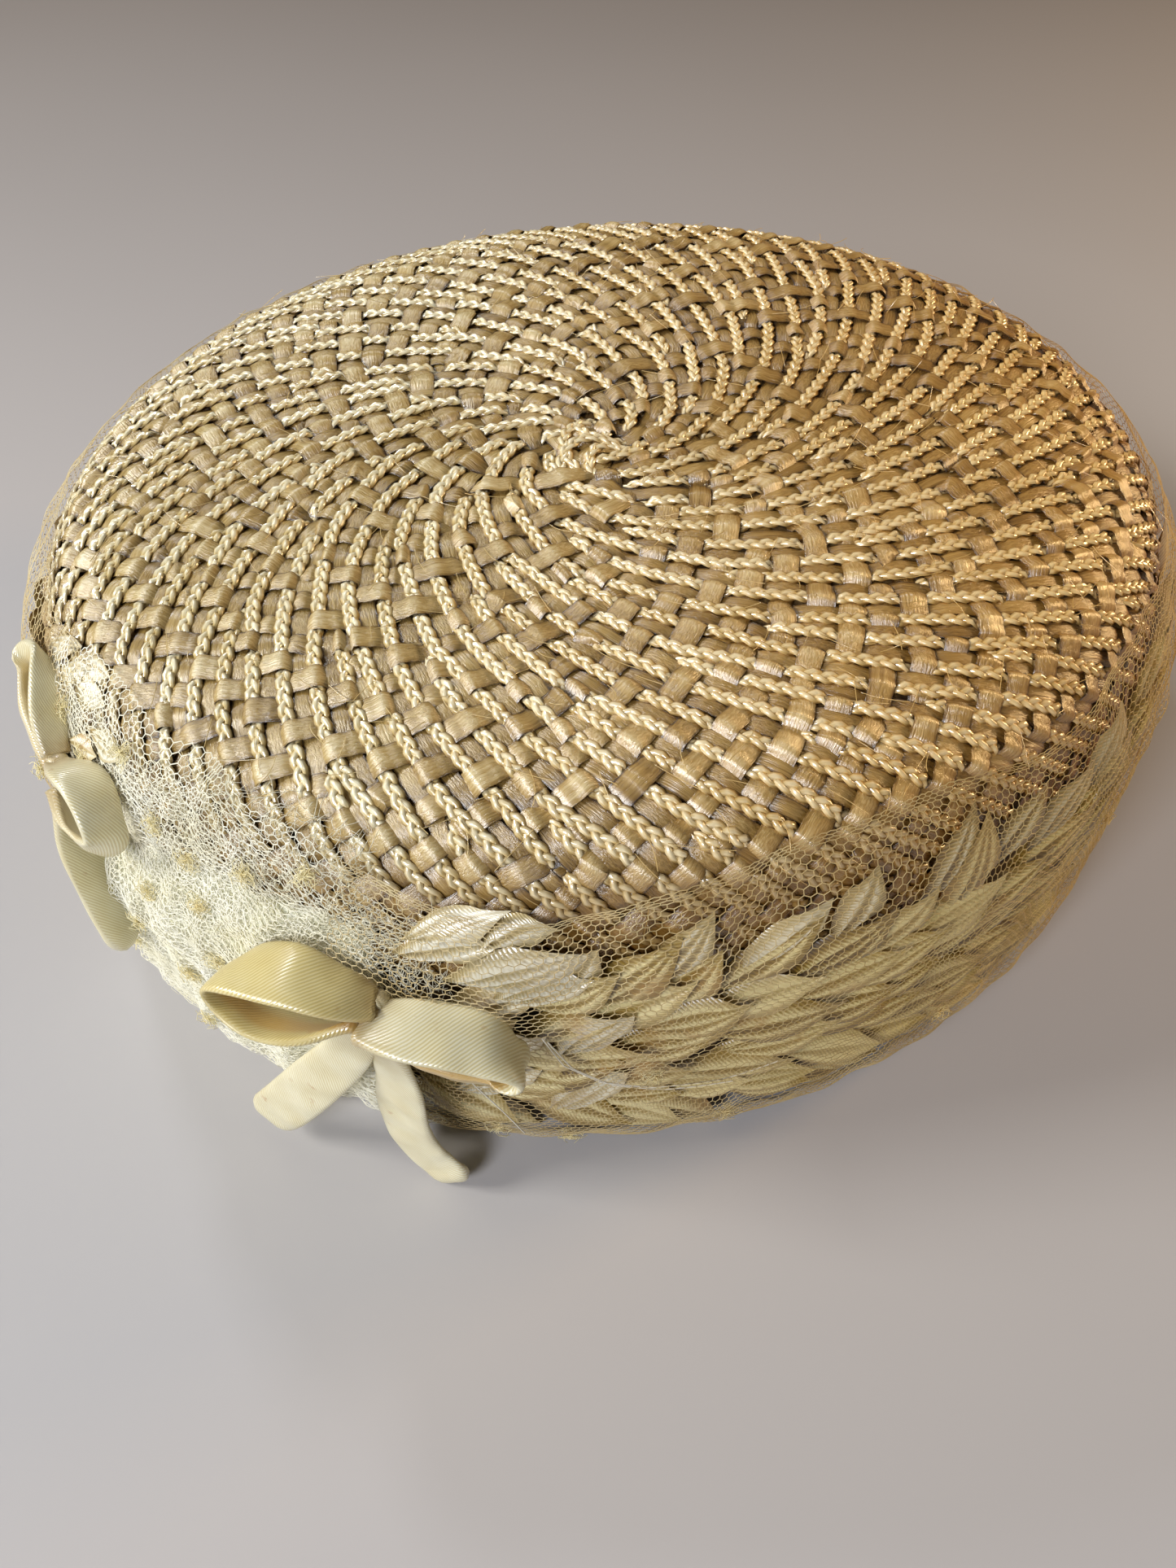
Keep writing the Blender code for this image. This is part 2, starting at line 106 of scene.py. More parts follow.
@dataclass(frozen=True)
class CapForm:
    """The cap's turned form, as the solids have it: a flat-topped dome on an oval plan."""

    mean_radius: float = 92.0 * MM
    height: float = 72.2 * MM
    oval: float = 1.064
    long_axis: float = math.radians(17)
    waist: float = 10.9 * MM
    rim_pull: float = 0.972
    straw_share: float = 0.94
    straw_rounding: tuple[float, float] = (7.0, 7.5)
    veil_rounding: tuple[float, float] = (6.0, 5.0)
    swirl: tuple[float, float] = (-4.6 * MM, -3.2 * MM)   # the weave starts this far off the axis
    # Height along the straw and how far off it the net hangs there, in millimetres
    net_rows: Rows = (
        (1.0, 4.0), (2.4, 4.6), (5.0, 5.8), (11.0, 6.3), (46.0, 5.6), (52.0, 4.3), (60.0, 2.6), (64.0, 1.8),
        (68.0, 1.4), (72.0, 1.2))
    # The net stands off most by the front bow: angle, height, how far more, and how far round and up
    swelling: tuple[float, float, float, float, float] = (261.5, 54.0, 2.2, 10.0, 8.5)

    def profile(self, widest: float, rounding: tuple[float, float]) -> tuple[Array, Array]:
        """Radius and height of a flat-topped dome from its rim to the middle of its top.

        Args:
            widest: the radius at the waist.
            rounding: how square the shoulder is, across and upwards.

        Returns:
            The radii and the heights.
        """
        low = np.linspace(0, math.pi / 2, 60)[:-1]
        turn = np.linspace(0, math.pi / 2, 360)
        radius = widest * np.abs(np.cos(turn)) ** (2 / rounding[0])
        radius[-1] = 0.0
        height = self.waist + (self.height - self.waist) * np.sin(turn) ** (2 / rounding[1])
        low_radius = widest * (self.rim_pull + (1 - self.rim_pull) * np.sin(low))
        return (np.concatenate([low_radius, radius]),
                np.concatenate([self.waist * low / (math.pi / 2), height]))

    @cached_property
    def straw(self) -> tuple[Array, Array, Array]:
        """Length along the straw from the rim, with the radius and height there.

        Returns:
            The lengths, the radii and the heights.
        """
        radius, height = self.profile(self.straw_share * self.mean_radius, self.straw_rounding)
        length = np.concatenate([[0], np.cumsum(np.hypot(np.diff(radius), np.diff(height)))])
        return length, radius, height

    @cached_property
    def veil(self) -> tuple[Array, Array]:
        """Radius and height of the outside of the veil."""
        return self.profile(self.mean_radius, self.veil_rounding)

    @cached_property
    def axis(self) -> Array:
        """Where the middle of the crown stands on the rest plane."""
        low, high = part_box("straw_crown")
        return np.array([(low[0] + high[0]) / 2, (low[1] + high[1]) / 2])

    @property
    def whole(self) -> float:
        """Length along the straw from the rim to the middle of the top."""
        return float(self.straw[0][-1])

    def radius_at(self, along: Any) -> Array:
        """Radius of the straw that far from the rim."""
        return np.interp(along, self.straw[0], self.straw[1])

    def on_oval(self, angle: Any, radius: Any, height: Any) -> Array:
        """Points of the round plan, moved to the oval plan and to the cap's place.

        Args:
            angle: angle round the cap.
            radius: distance from the axis in the round plan.
            height: height above the rest plane.

        Returns:
            One point a row.
        """
        long_way = radius * np.cos(angle - self.long_axis) * self.oval
        short_way = radius * np.sin(angle - self.long_axis) / self.oval
        c, s = math.cos(self.long_axis), math.sin(self.long_axis)
        near = np.clip(1 - (np.asarray(radius) / (0.84 * self.mean_radius)) ** 2, 0, 1) ** 1.5
        x = long_way * c - short_way * s + self.axis[0] + near * self.swirl[0]
        y = long_way * s + short_way * c + self.axis[1] + near * self.swirl[1]
        return np.stack(np.broadcast_arrays(x, y, height), -1)

    def place(self, angle: Any, along: Any, off: Any) -> Array:
        """Points off the straw surface.

        Args:
            angle: angle round the cap.
            along: length along the straw from the rim.
            off: distance off its surface.

        Returns:
            One point a row.
        """
        length, radius, height = self.straw
        step = 0.4 * MM
        before, after = np.clip(along - step, 0, length[-1]), np.clip(along + step, 0, length[-1])
        run = np.interp(after, length, radius) - np.interp(before, length, radius)
        rise = np.interp(after, length, height) - np.interp(before, length, height)
        size = np.maximum(np.hypot(run, rise), 1e-9)
        return self.on_oval(angle, np.interp(along, length, radius) + off * rise / size,
                            np.interp(along, length, height) - off * run / size)

    def outward(self, angle: Any, along: Any) -> Array:
        """The straw's outward direction at points of its surface."""
        way = self.place(angle, along, 1.0 * MM) - self.place(angle, along, 0.0)
        return way / np.linalg.norm(way, axis=-1, keepdims=True)

    def room(self, angle: Any, along: Any) -> Array:
        """How far off the straw the net hangs: the room that the leaves have, most by the front bow.

        Args:
            angle: angle round the cap.
            along: length along the straw from the rim.

        Returns:
            One distance a point.
        """
        at, clear = np.array(self.net_rows).T * MM
        turned, height, size, round_by, up_by = self.swelling
        beside = (angle - math.radians(turned)) * self.mean_radius / (round_by * MM)
        above = (along - height * MM) / (up_by * MM)
        return np.interp(along, at, clear) + size * MM * np.exp(-beside ** 2 - above ** 2)

    def off_veil(self, bow_angle: float, across: Any, up: Any, off: Any) -> Array:
        """Points outside the veil, measured round the cap from a bow's angle."""
        radius = np.interp(up, self.veil[1], self.veil[0]) + off
        return self.on_oval(bow_angle + across / self.mean_radius, radius, up)


FORM = CapForm()


def at_angle(table: Rows, angle: Any, column: int = 1) -> Array:
    """A column of a table in millimetres, read at angles in radians by its first column, in degrees."""
    columns = np.array(table).T
    return np.interp(np.degrees(angle), columns[0], columns[column]) * MM


def path_length(points: Array) -> Array:
    """Length along a line of points, from its start to each of them."""
    return np.concatenate([[0], np.cumsum(np.linalg.norm(np.diff(points, axis=0), axis=1))])


Put = Callable[..., Any]


def add_node(tree: NodeTree, kind: str, *values: Any, out: int | str = 0,
             stops: Stops = (), **settings: Any) -> Any:
    """Adds a node with its settings and links.

    Args:
        tree: the tree that gets it.
        kind: its type without ShaderNode or GeometryNode, and its operation after a space if it has one.
        values: a value or an output for each input in order, or one dict of them by the inputs' names.
        out: the output to give back, by name or number.
        stops: place and hex colour of each stop, for a colour ramp.
        settings: its own properties.

    Returns:
        The output, or nothing for a node that has none.
    """
    kind, _, operation = kind.partition(" ")
    starts = ("ShaderNode", "GeometryNode", "")
    node = tree.nodes.new(next(start + kind for start in starts if hasattr(bpy.types, start + kind)))
    if operation:
        node.operation = operation
    for name, value in settings.items():
        setattr(node, name, value)
    if stops:
        elements = node.color_ramp.elements
        while len(elements) < len(stops):
            elements.new(0.5)
        for element, (place, code) in zip(elements, stops):
            element.position = place
            element.color = linear(code)
    given = values[0] if values and isinstance(values[0], dict) else dict(enumerate(values))
    for key, value in given.items():
        if isinstance(value, NodeSocket):
            tree.links.new(value, node.inputs[key])
        else:
            node.inputs[key].default_value = value
    return node.outputs[out] if len(node.outputs) else None


def carried(put: Put, *names: str) -> list[Any]:
    """What the mesh carries under each of the names."""
    return [put("Attribute", out="Fac", attribute_name=name) for name in names]


def band_scale(spacing: float) -> float:
    """A wave texture's scale for bands that many units apart."""
    return FULL_TURN / (20 * spacing)


def painted_light_by_place(put: Put, colour: Any, painted_warm_tint: str, painted_shade_tint: str = "#FFFFFF") -> Any:
    """Paints light and shade into a colour by its place on the cap: a golden painted light at the right, a
    browner painted shade below the shoulder.

    Args:
        put: adds a node.
        colour: the colour before the light and shade are painted in.
        painted_warm_tint: what multiplies it at the far right, as painted warm light.
        painted_shade_tint: what multiplies it below the shoulder, as painted shade.

    Returns:
        The colour with the light and shade painted in.
    """
    x, _, z = put("SeparateXYZ", put("TexCoord", out="Object")).node.outputs
    # Painted warm light grows towards the right of the cap, and painted shade grows below the shoulder
    for value, fresh_at, full_at, tint in ((x, -0.03, 0.085, painted_warm_tint), (z, 0.066, 0.057, painted_shade_tint)):
        amount = put("MapRange", value, fresh_at, full_at)
        colour = put("Mix", {"Factor": amount, "A": colour, "B": linear(tint)}, out="Result",
                     data_type="RGBA", blend_type="MULTIPLY")
    return colour


class Relief(NamedTuple):
    """Fine relief of a surface: what makes its height, how strong it is, and its depth in metres."""

    height: Any
    strength: float
    depth: float


@dataclass(frozen=True)
class Finish:
    """What a surface is made of, with the numbers that its shader starts from."""

    name: str
    roughness: float = 0.5
    sheen: float = 0.0
    sheen_tint: str = "#FFF8E4"
    specular: float = 0.5
    ior: float = 1.5

    def build(self) -> Material:
        """Makes the finished material.

        Returns:
            The material.
        """
        made = bpy.data.materials.new(self.name)
        made.use_nodes = True
        shader = made.node_tree.nodes["Principled BSDF"]
        shader.inputs["Roughness"].default_value = self.roughness
        shader.inputs["Metallic"].default_value = 0.0
        shader.inputs["IOR"].default_value = self.ior
        shader.inputs["Specular IOR Level"].default_value = self.specular
        shader.inputs["Sheen Weight"].default_value = self.sheen
        shader.inputs["Sheen Tint"].default_value = linear(self.sheen_tint)
        put = partial(add_node, made.node_tree)
        colour, relief = self.dress(put)
        made.node_tree.links.new(colour, shader.inputs["Base Color"])
        if relief:
            bump = put("Bump", {"Strength": relief.strength, "Distance": relief.depth,
                                "Height": relief.height})
            made.node_tree.links.new(bump, shader.inputs["Normal"])
        return made

    def dress(self, put: Put) -> tuple[Any, Relief | None]:
        """Gives the colour and the relief. Each finish writes its own."""
        raise NotImplementedError


@dataclass(frozen=True)
class Raffia(Finish):
    """Split raffia palm ribbon: long straight fibres that catch the light in silky streaks."""

    stops: Stops = ((0.10, "#483112"), (0.34, "#96783C"), (0.60, "#C4A766"), (0.95, "#F8E8B4"))
    fibres_per_mm: float = 3.8        # real fibres are near 8 a millimetre; drawn coarser to show
    fibre_run: float = 0.07           # fibres last about 14 mm before they change

    def dress(self, put: Put) -> tuple[Any, Relief | None]:
        """Lays streaks along each ribbon, with a tint of its own for each, lighter where it rides high and
        darker where it dips and at its edges, as painted light and shade.

        Args:
            put: adds a node.

        Returns:
            The colour, and the relief or nothing.
        """
        across, along, _ = put("SeparateXYZ", put("UVMap", uv_map="UVMap")).node.outputs
        tint, side, lift = carried(put, "tint", "across", "lift")
        spot = put("CombineXYZ", put("Math MULTIPLY", across, self.fibres_per_mm),
                   put("Math MULTIPLY", along, self.fibre_run), put("Math MULTIPLY", tint, 61.0))
        fibre = put("TexNoise", {"Vector": spot, "Scale": 1.0, "Detail": 4.0, "Roughness": 0.62})
        shade = put("Math MULTIPLY_ADD", tint, 0.30, put("Math MULTIPLY_ADD", fibre, 0.76, -0.13))
        # Painted shade darkens each ribbon towards its edges, where it meets its neighbours
        edge = put("Math POWER", put("Math ABSOLUTE", side), 5.0)
        shade = put("Math SUBTRACT", put("Math MULTIPLY_ADD", edge, -0.40, shade), 0.06)
        # Painted light and shade: the higher the strand rides over the weave, the lighter its colour
        colour = put("ValToRGB", put("Math MULTIPLY_ADD", lift, 0.34, shade), stops=self.stops)
        # Then painted warm light at the right and painted shade below the shoulder
        return painted_light_by_place(put, colour, "#FFDCA6", "#D2BE9A"), Relief(fibre, 0.9, 0.00022)


@dataclass(frozen=True)
class BraidedCord(Finish):
    """Three-strand plait of glossy viscose straw: each lobe is painted bright on top as a highlight and
    golden at its root as shade.
    """

    # The groove colour is painted shade between the strands, and the crest colour a painted highlight on top
    # of them
    groove: str = "#7A5520"
    body: str = "#DDC484"
    crest: str = "#FFF5D0"
    filaments_per_mm: float = 3.6     # real filaments are near 15 a millimetre; drawn coarser to show

    def dress(self, put: Put) -> tuple[Any, Relief | None]:
        """Paints light on the strands where they ride over each other, shade at their sides, warm light at
        the right and shade below the shoulder, and lays fine filaments along them.

        Args:
            put: adds a node.

        Returns:
            The colour, and the relief or nothing.
        """
        side, relief, tint = carried(put, "across", "relief", "tint")
        uv = put("UVMap", uv_map="UVMap")
        spot = put("Mapping", {"Vector": uv, "Scale": (self.filaments_per_mm, 0.45, 1.0)})
        filament = put("TexNoise", {"Vector": spot, "Scale": 1.0, "Detail": 3.0})
        # Painted shade darkens each strand towards its sides, and painted light brightens it where it rides
        # over the others
        beside = put("Math MULTIPLY", side, 1900.0)
        shade = put("Math MULTIPLY_ADD", put("Math MULTIPLY", beside, beside), -0.16,
                    put("Math MULTIPLY_ADD", relief, 0.26, 0.24))
        shade = put("Math MULTIPLY_ADD", tint, 0.22, put("Math MULTIPLY_ADD", filament, 0.5, shade))
        colour = put("ValToRGB", shade, stops=((0.18, self.groove), (0.48, self.body), (0.80, self.crest)))
        return painted_light_by_place(put, colour, "#FFDCA2", "#C6B28C"), Relief(filament, 0.7, 0.00016)


@dataclass(frozen=True)
class CrossWeave(Finish):
    """The woven wall where it is seen between strands or from inside: checks of raffia ribbon, darker behind
    the strands as painted shade.
    """

    # These darker colours, on the wall behind the strands, are painted shade; the lining inside is given
    # lighter ones
    dark: str = "#3E2A10"
    light: str = "#8A6A35"
    check: float = 4.2                # millimetres from ribbon to ribbon
    lean: float = 42.0                # degrees that the ribbons lean

    def dress(self, put: Put) -> tuple[Any, Relief | None]:
        """Crosses two rows of ribbon at right angles, leaning as the outer strands do.

        Args:
            put: adds a node.

        Returns:
            The colour, and the relief or nothing.
        """
        uv = put("UVMap", uv_map="UVMap")
        turned = put("Mapping", {"Vector": uv, "Rotation": (0.0, 0.0, math.radians(self.lean))})
        wave = {"Vector": turned, "Scale": band_scale(self.check), "Distortion": 0.6, "Detail": 1.0,
                "Detail Scale": 0.4}
        rows = [put("TexWave", wave, out="Fac", bands_direction=way) for way in ("X", "Y")]
        mottle = put("TexNoise", {"Vector": turned, "Scale": 2.2, "Detail": 4.0})
        check = put("Math MULTIPLY", put("Math MAXIMUM", *rows), mottle)
        colour = put("ValToRGB", check, stops=((0.15, self.dark), (0.62, self.light)))
        return colour, Relief(check, 0.7, 0.0006)


@dataclass(frozen=True)
class FineThread(Finish):
    """Thin cotton or nylon thread, as in net, tulle and chenille: soft, with a faint halo."""

    pale: str = "#E2D2A4"
    deep: str = "#B99E66"
    patch: float = 9.0                # millimetres over which age has changed the shade

    def dress(self, put: Put) -> tuple[Any, Relief | None]:
        """Varies the tone slowly over the cap and adds a painted warm light at the right.

        Args:
            put: adds a node.

        Returns:
            The colour, and the relief or nothing.
        """
        here = put("TexCoord", out="Object")
        age = put("TexNoise", {"Vector": here, "Scale": 1000 / self.patch, "Detail": 3.0})
        colour = put("ValToRGB", age, stops=((0.3, self.deep), (0.7, self.pale)))
        return painted_light_by_place(put, colour, "#F2DAA2"), None


@dataclass(frozen=True)
class PressedLeaf(Finish):
    """Starched satin or organza leaf, stamped hot: ribs brightened by a painted highlight, fine cross
    threads, aged edges, painted shade towards the base.
    """

    # The hollow colour is painted shade and the crest colour a painted highlight
    hollow: str = "#80652F"
    body: str = "#CDBB86"
    crest: str = "#FBF7E2"
    stain: str = "#BC924C"
    thread: float = 0.40              # satin threads are near 0.1 mm apart; drawn coarser to show

    def dress(self, put: Put) -> tuple[Any, Relief | None]:
        """Brightens the ribs as a painted highlight, darkens each leaf towards its base as painted shade,
        lays threads across the leaf, stains some of it golden and adds a painted warm light at the right.

        Args:
            put: adds a node.

        Returns:
            The colour, and the relief or nothing.
        """
        uv, here = put("UVMap", uv_map="UVMap"), put("TexCoord", out="Object")
        rib, tint = carried(put, "rib", "tint")
        wave = {"Vector": uv, "Scale": band_scale(self.thread), "Distortion": 0.8, "Detail": 1.0}
        lines = put("TexWave", wave, out="Fac", bands_direction="DIAGONAL")
        # Painted highlight along the pressed ribs, broken by the threads
        gleam = put("Math MULTIPLY", put("Math POWER", rib, 2.6), put("Math MULTIPLY_ADD", lines, 0.45, 0.6))
        shade = put("Math MULTIPLY_ADD", gleam, 0.92, put("Math MULTIPLY_ADD", lines, 0.13, 0.02))
        # Painted shade darkens each leaf towards its base, where it tucks under the next
        shade = put("Math MULTIPLY_ADD", put("SeparateXYZ", uv, out="Y"), 0.014, shade)
        shade = put("Math MULTIPLY_ADD", tint, 0.44, shade)
        stops = ((0.20, self.hollow), (0.52, self.body), (0.92, self.crest))
        cloth = put("ValToRGB", shade, stops=stops)
        age = put("TexNoise", {"Vector": here, "Scale": 120.0, "Detail": 5.0, "Roughness": 0.6})
        aged = put("Mix", {"Factor": put("MapRange", age, 0.56, 0.74), "A": cloth, "B": linear(self.stain)},
                   out="Result", data_type="RGBA")
        return painted_light_by_place(put, aged, "#F4DCA4"), Relief(lines, 0.34, 0.0001)


@dataclass(frozen=True)
class BowSatin(Finish):
    """Bias-cut satin ribbon: butter cream, with slanting twill lines and small rusty age spots."""

    shade: str = "#C9B478"
    body: str = "#E8DDAE"
    gleam: str = "#FAF6DC"
    spot: str = "#BE9148"
    yellower: str = "#F1E7C2"              # what the listed bands are multiplied by: a darker, yellower tint
    root: str = "#9C7532"
    # The golden colour painted inside the loops as shade
    inside: str = "#CDA350"
    twill: float = 0.31               # real twill is near 0.2 mm; drawn coarser to show

    def dress(self, put: Put) -> tuple[Any, Relief | None]:
        """Lays the twill, the age spots, the browned roots by the knot, the darker, yellower tint of the
        listed bands and a golden painted shade inside the loops.

        Args:
            put: adds a node.

        Returns:
            The colour, and the relief or nothing.
        """
        uv, here = put("UVMap", uv_map="UVMap"), put("TexCoord", out="Object")
        yellowed, inner, root = carried(put, "yellowed", "inner", "root")
        wave = {"Vector": uv, "Scale": band_scale(self.twill), "Distortion": 0.9, "Detail": 2.0}
        twill = put("TexWave", wave, out="Fac", bands_direction="DIAGONAL")
        cloud = put("TexNoise", {"Vector": here, "Scale": 160.0, "Detail": 2.0})
        age = put("TexNoise", {"Vector": here, "Scale": 310.0, "Detail": 4.0, "Roughness": 0.55})
        tone = put("Math MULTIPLY_ADD", twill, 0.36, put("Math MULTIPLY_ADD", cloud, 0.5, 0.22))
        stops = ((0.30, self.shade), (0.60, self.body), (0.90, self.gleam))
        cloth = put("ValToRGB", tone, stops=stops)
        for amount, tint, way in ((yellowed, self.yellower, "MULTIPLY"),
                                  (put("Math MULTIPLY", inner, 0.8), self.inside, "MIX"),
                                  (put("MapRange", age, 0.66, 0.76, 0.0, 0.7), self.spot, "MIX"),
                                  (put("Math MULTIPLY", root, age), self.root, "MIX")):
            cloth = put("Mix", {"Factor": amount, "A": cloth, "B": linear(tint)}, out="Result",
                        data_type="RGBA", blend_type=way)
        return cloth, Relief(twill, 0.3, 0.0001)


@dataclass(frozen=True)
class TulleCloud(Finish):
    """Many crumpled layers of fine tulle seen as one: a cool white haze, with creamy painted shade for the
    hollows of its crumples.
    """

    # The hollow colour is painted shade and the crest colour a painted highlight
    hollow: str = "#DAD5AA"
    body: str = "#E9E9D0"
    crest: str = "#F8F9EA"

    def dress(self, put: Put) -> tuple[Any, Relief | None]:
        """Mottles the haze at the size of its crumples, with painted shade in their hollows and painted
        highlights on their crests, and gives it a felted surface.

        Args:
            put: adds a node.

        Returns:
            The colour, and the relief or nothing.
        """
        here = put("TexCoord", out="Object")
        crumple = put("TexNoise", {"Vector": here, "Scale": 260.0, "Detail": 6.0, "Roughness": 0.65,
                                   "Distortion": 0.6})
        colour = put("ValToRGB", crumple, stops=((0.32, self.hollow), (0.48, self.body), (0.68, self.crest)))
        return colour, Relief(put("TexNoise", {"Vector": here, "Scale": 1500.0, "Detail": 4.0}), 0.6, 0.0005)


@dataclass(frozen=True)
class TableTop(Finish):
    """Matt-painted board: a plain pale grey with almost no texture, and painted shade towards the back."""

    colour: str = "#BFBCBC"
    patch: str = "#BBB8B8"
    far: str = "#C4BAB0"              # what the far side of the board is multiplied by, as painted shade

    def dress(self, put: Put) -> tuple[Any, Relief | None]:
        """Gives the paint a slight unevenness, and darkens it to the back as painted shade where the room's
        light falls off.

        Args:
            put: adds a node.

        Returns:
            The colour, and the relief or nothing.
        """
        here = put("TexCoord", out="Object")
        uneven = put("TexNoise", {"Vector": here, "Scale": 6.0, "Detail": 2.0})
        colour = put("ValToRGB", uneven, stops=((0.2, self.patch), (0.8, self.colour)))
        back = put("MapRange", put("SeparateXYZ", here, out="Y"), 0.02, 0.45)
        return put("Mix", {"Factor": back, "A": colour, "B": linear(self.far)}, out="Result",
                   data_type="RGBA", blend_type="MULTIPLY"), None


def shape_tree(name: str, **inputs: str) -> tuple[NodeTree, Put, Any]:
    """Starts a geometry node tree with named inputs.

    Args:
        name: the tree's name.
        inputs: the kind of each input, such as Float, under its name with _ for a space.

    Returns:
        The tree, what adds its nodes, and its inputs.
    """
    tree = bpy.data.node_groups.new(name, "GeometryNodeTree")
    sockets = {"Geometry": "Geometry", **{key.replace("_", " "): kind for key, kind in inputs.items()}}
    for label, kind in sockets.items():
        tree.interface.new_socket(label, in_out="INPUT", socket_type="NodeSocket" + kind)
    tree.interface.new_socket("Geometry", in_out="OUTPUT", socket_type="NodeSocketGeometry")
    put = partial(add_node, tree)
    return tree, put, put("NodeGroupInput").node.outputs


def guide_curves(put: Put, geometry: Any) -> Any:
    """Edges as curves that face the way the guides carry."""
    facing = put("InputNamedAttribute", "outward", data_type="FLOAT_VECTOR")
    return put("SetCurveNormal", {"Curve": put("MeshToCurve", geometry), "Normal": facing}, mode="FREE")


def flat_section(put: Put, count: Any) -> tuple[Any, Any]:
    """A straight section from -1 to 1 with that many points, and how far each of them lies to the side.

    Args:
        put: adds a node.
        count: how many points it has.

    Returns:
        The section, and each point's distance to the side.
    """
    flat = put("CurvePrimitiveLine", {"Start": (0.0, -1.0, 0.0), "End": (0.0, 1.0, 0.0)})
    side = put("SeparateXYZ", put("InputPosition"), out="Y")
    return put("ResampleCurve", {"Curve": flat, "Count": count}), side


def mapped(put: Put, geometry: Any, wide: Any, run: Any) -> Any:
    """Gives swept geometry a flat map in millimetres from its width and length in metres."""
    spot = put("CombineXYZ", put("Math MULTIPLY", wide, 1000.0), put("Math MULTIPLY", run, 1000.0))
    return put("StoreNamedAttribute", {"Geometry": geometry, "Name": "UVMap", "Value": spot},
               data_type="FLOAT2", domain="CORNER")


def end_shape(put: Put, geometry: Any, material: Any) -> None:
    """Ends a shape with smooth shading, real meshes and its material."""
    real = put("RealizeInstances", {"Geometry": put("SetShadeSmooth", {"Geometry": geometry})})
    put("NodeGroupOutput", {"Geometry": put("SetMaterial", {"Geometry": real, "Material": material})})


def grow(name: str, mesh: Mesh, tree: NodeTree, values: dict[str, Any]) -> Object:
    """Runs a node tree on a mesh and keeps the result as a plain object.

    Args:
        name: the new object's name.
        mesh: the guide mesh that the tree reads.
        tree: the geometry node tree.
        values: a value for each of the tree's named inputs.

    Returns:
        The object, at the origin and with no modifier.
    """
    guide = bpy.data.objects.new(name + " guide", mesh)
    bpy.context.scene.collection.objects.link(guide)
    modifier = guide.modifiers.new("Grow", "NODES")
    modifier.node_group = tree
    for item in tree.interface.items_tree:
        if item.item_type == "SOCKET" and item.in_out == "INPUT" and item.name in values:
            modifier[item.identifier] = values[item.name]
    evaluated = guide.evaluated_get(bpy.context.evaluated_depsgraph_get())
    baked = bpy.data.meshes.new_from_object(evaluated)
    baked.name = name
    keep_above(baked)
    bpy.data.objects.remove(guide)
    made = bpy.data.objects.new(name, baked)
    bpy.context.scene.collection.objects.link(made)
    return made


def keep_above(mesh: Mesh) -> None:
    """Lifts what would reach under the rest plane.

    Args:
        mesh: the mesh to lift.
    """
    places = np.empty(len(mesh.vertices) * 3, np.float32)
    mesh.vertices.foreach_get("co", places)
    if places.size and places[2::3].min() < 0 and places[2::3].max() > 20 * MM:
        places[2::3] = np.maximum(places[2::3], 0.05 * MM)
        mesh.vertices.foreach_set("co", places)


def strand_tree() -> NodeTree:
    """Sweeps a flat or half-round strand along guide lines that carry an outward direction.

    Returns:
        The tree. Its guides have the attributes outward, half_width, tint and lift.
    """
    tree, put, given = shape_tree("Lay strands", Across_Points="Int", Crown="Float", Roundness="Float",
                                  Material="Material")
    half, run, wide = (put("InputNamedAttribute", name) for name in ("half_width", "along", "across"))
    rail = put("StoreNamedAttribute", {"Geometry": guide_curves(put, given["Geometry"]), "Name": "along",
                                       "Value": put("SplineParameter", out="Length")})
    section, side = flat_section(put, given["Across Points"])
    section = put("StoreNamedAttribute", {"Geometry": section, "Name": "across", "Value": side})
    room = put("Math SUBTRACT", 1.0, put("Math MULTIPLY", side, side), use_clamp=True)
    rise = put("Math MULTIPLY", put("Math POWER", room, given["Roundness"]), given["Crown"])
    section = put("SetPosition", {"Geometry": section, "Offset": put("CombineXYZ", rise)})
    swept = put("CurveToMesh", {"Curve": rail, "Profile Curve": section, "Scale": half})
    end_shape(put, mapped(put, swept, put("Math MULTIPLY", wide, half), run), given["Material"])
    return tree


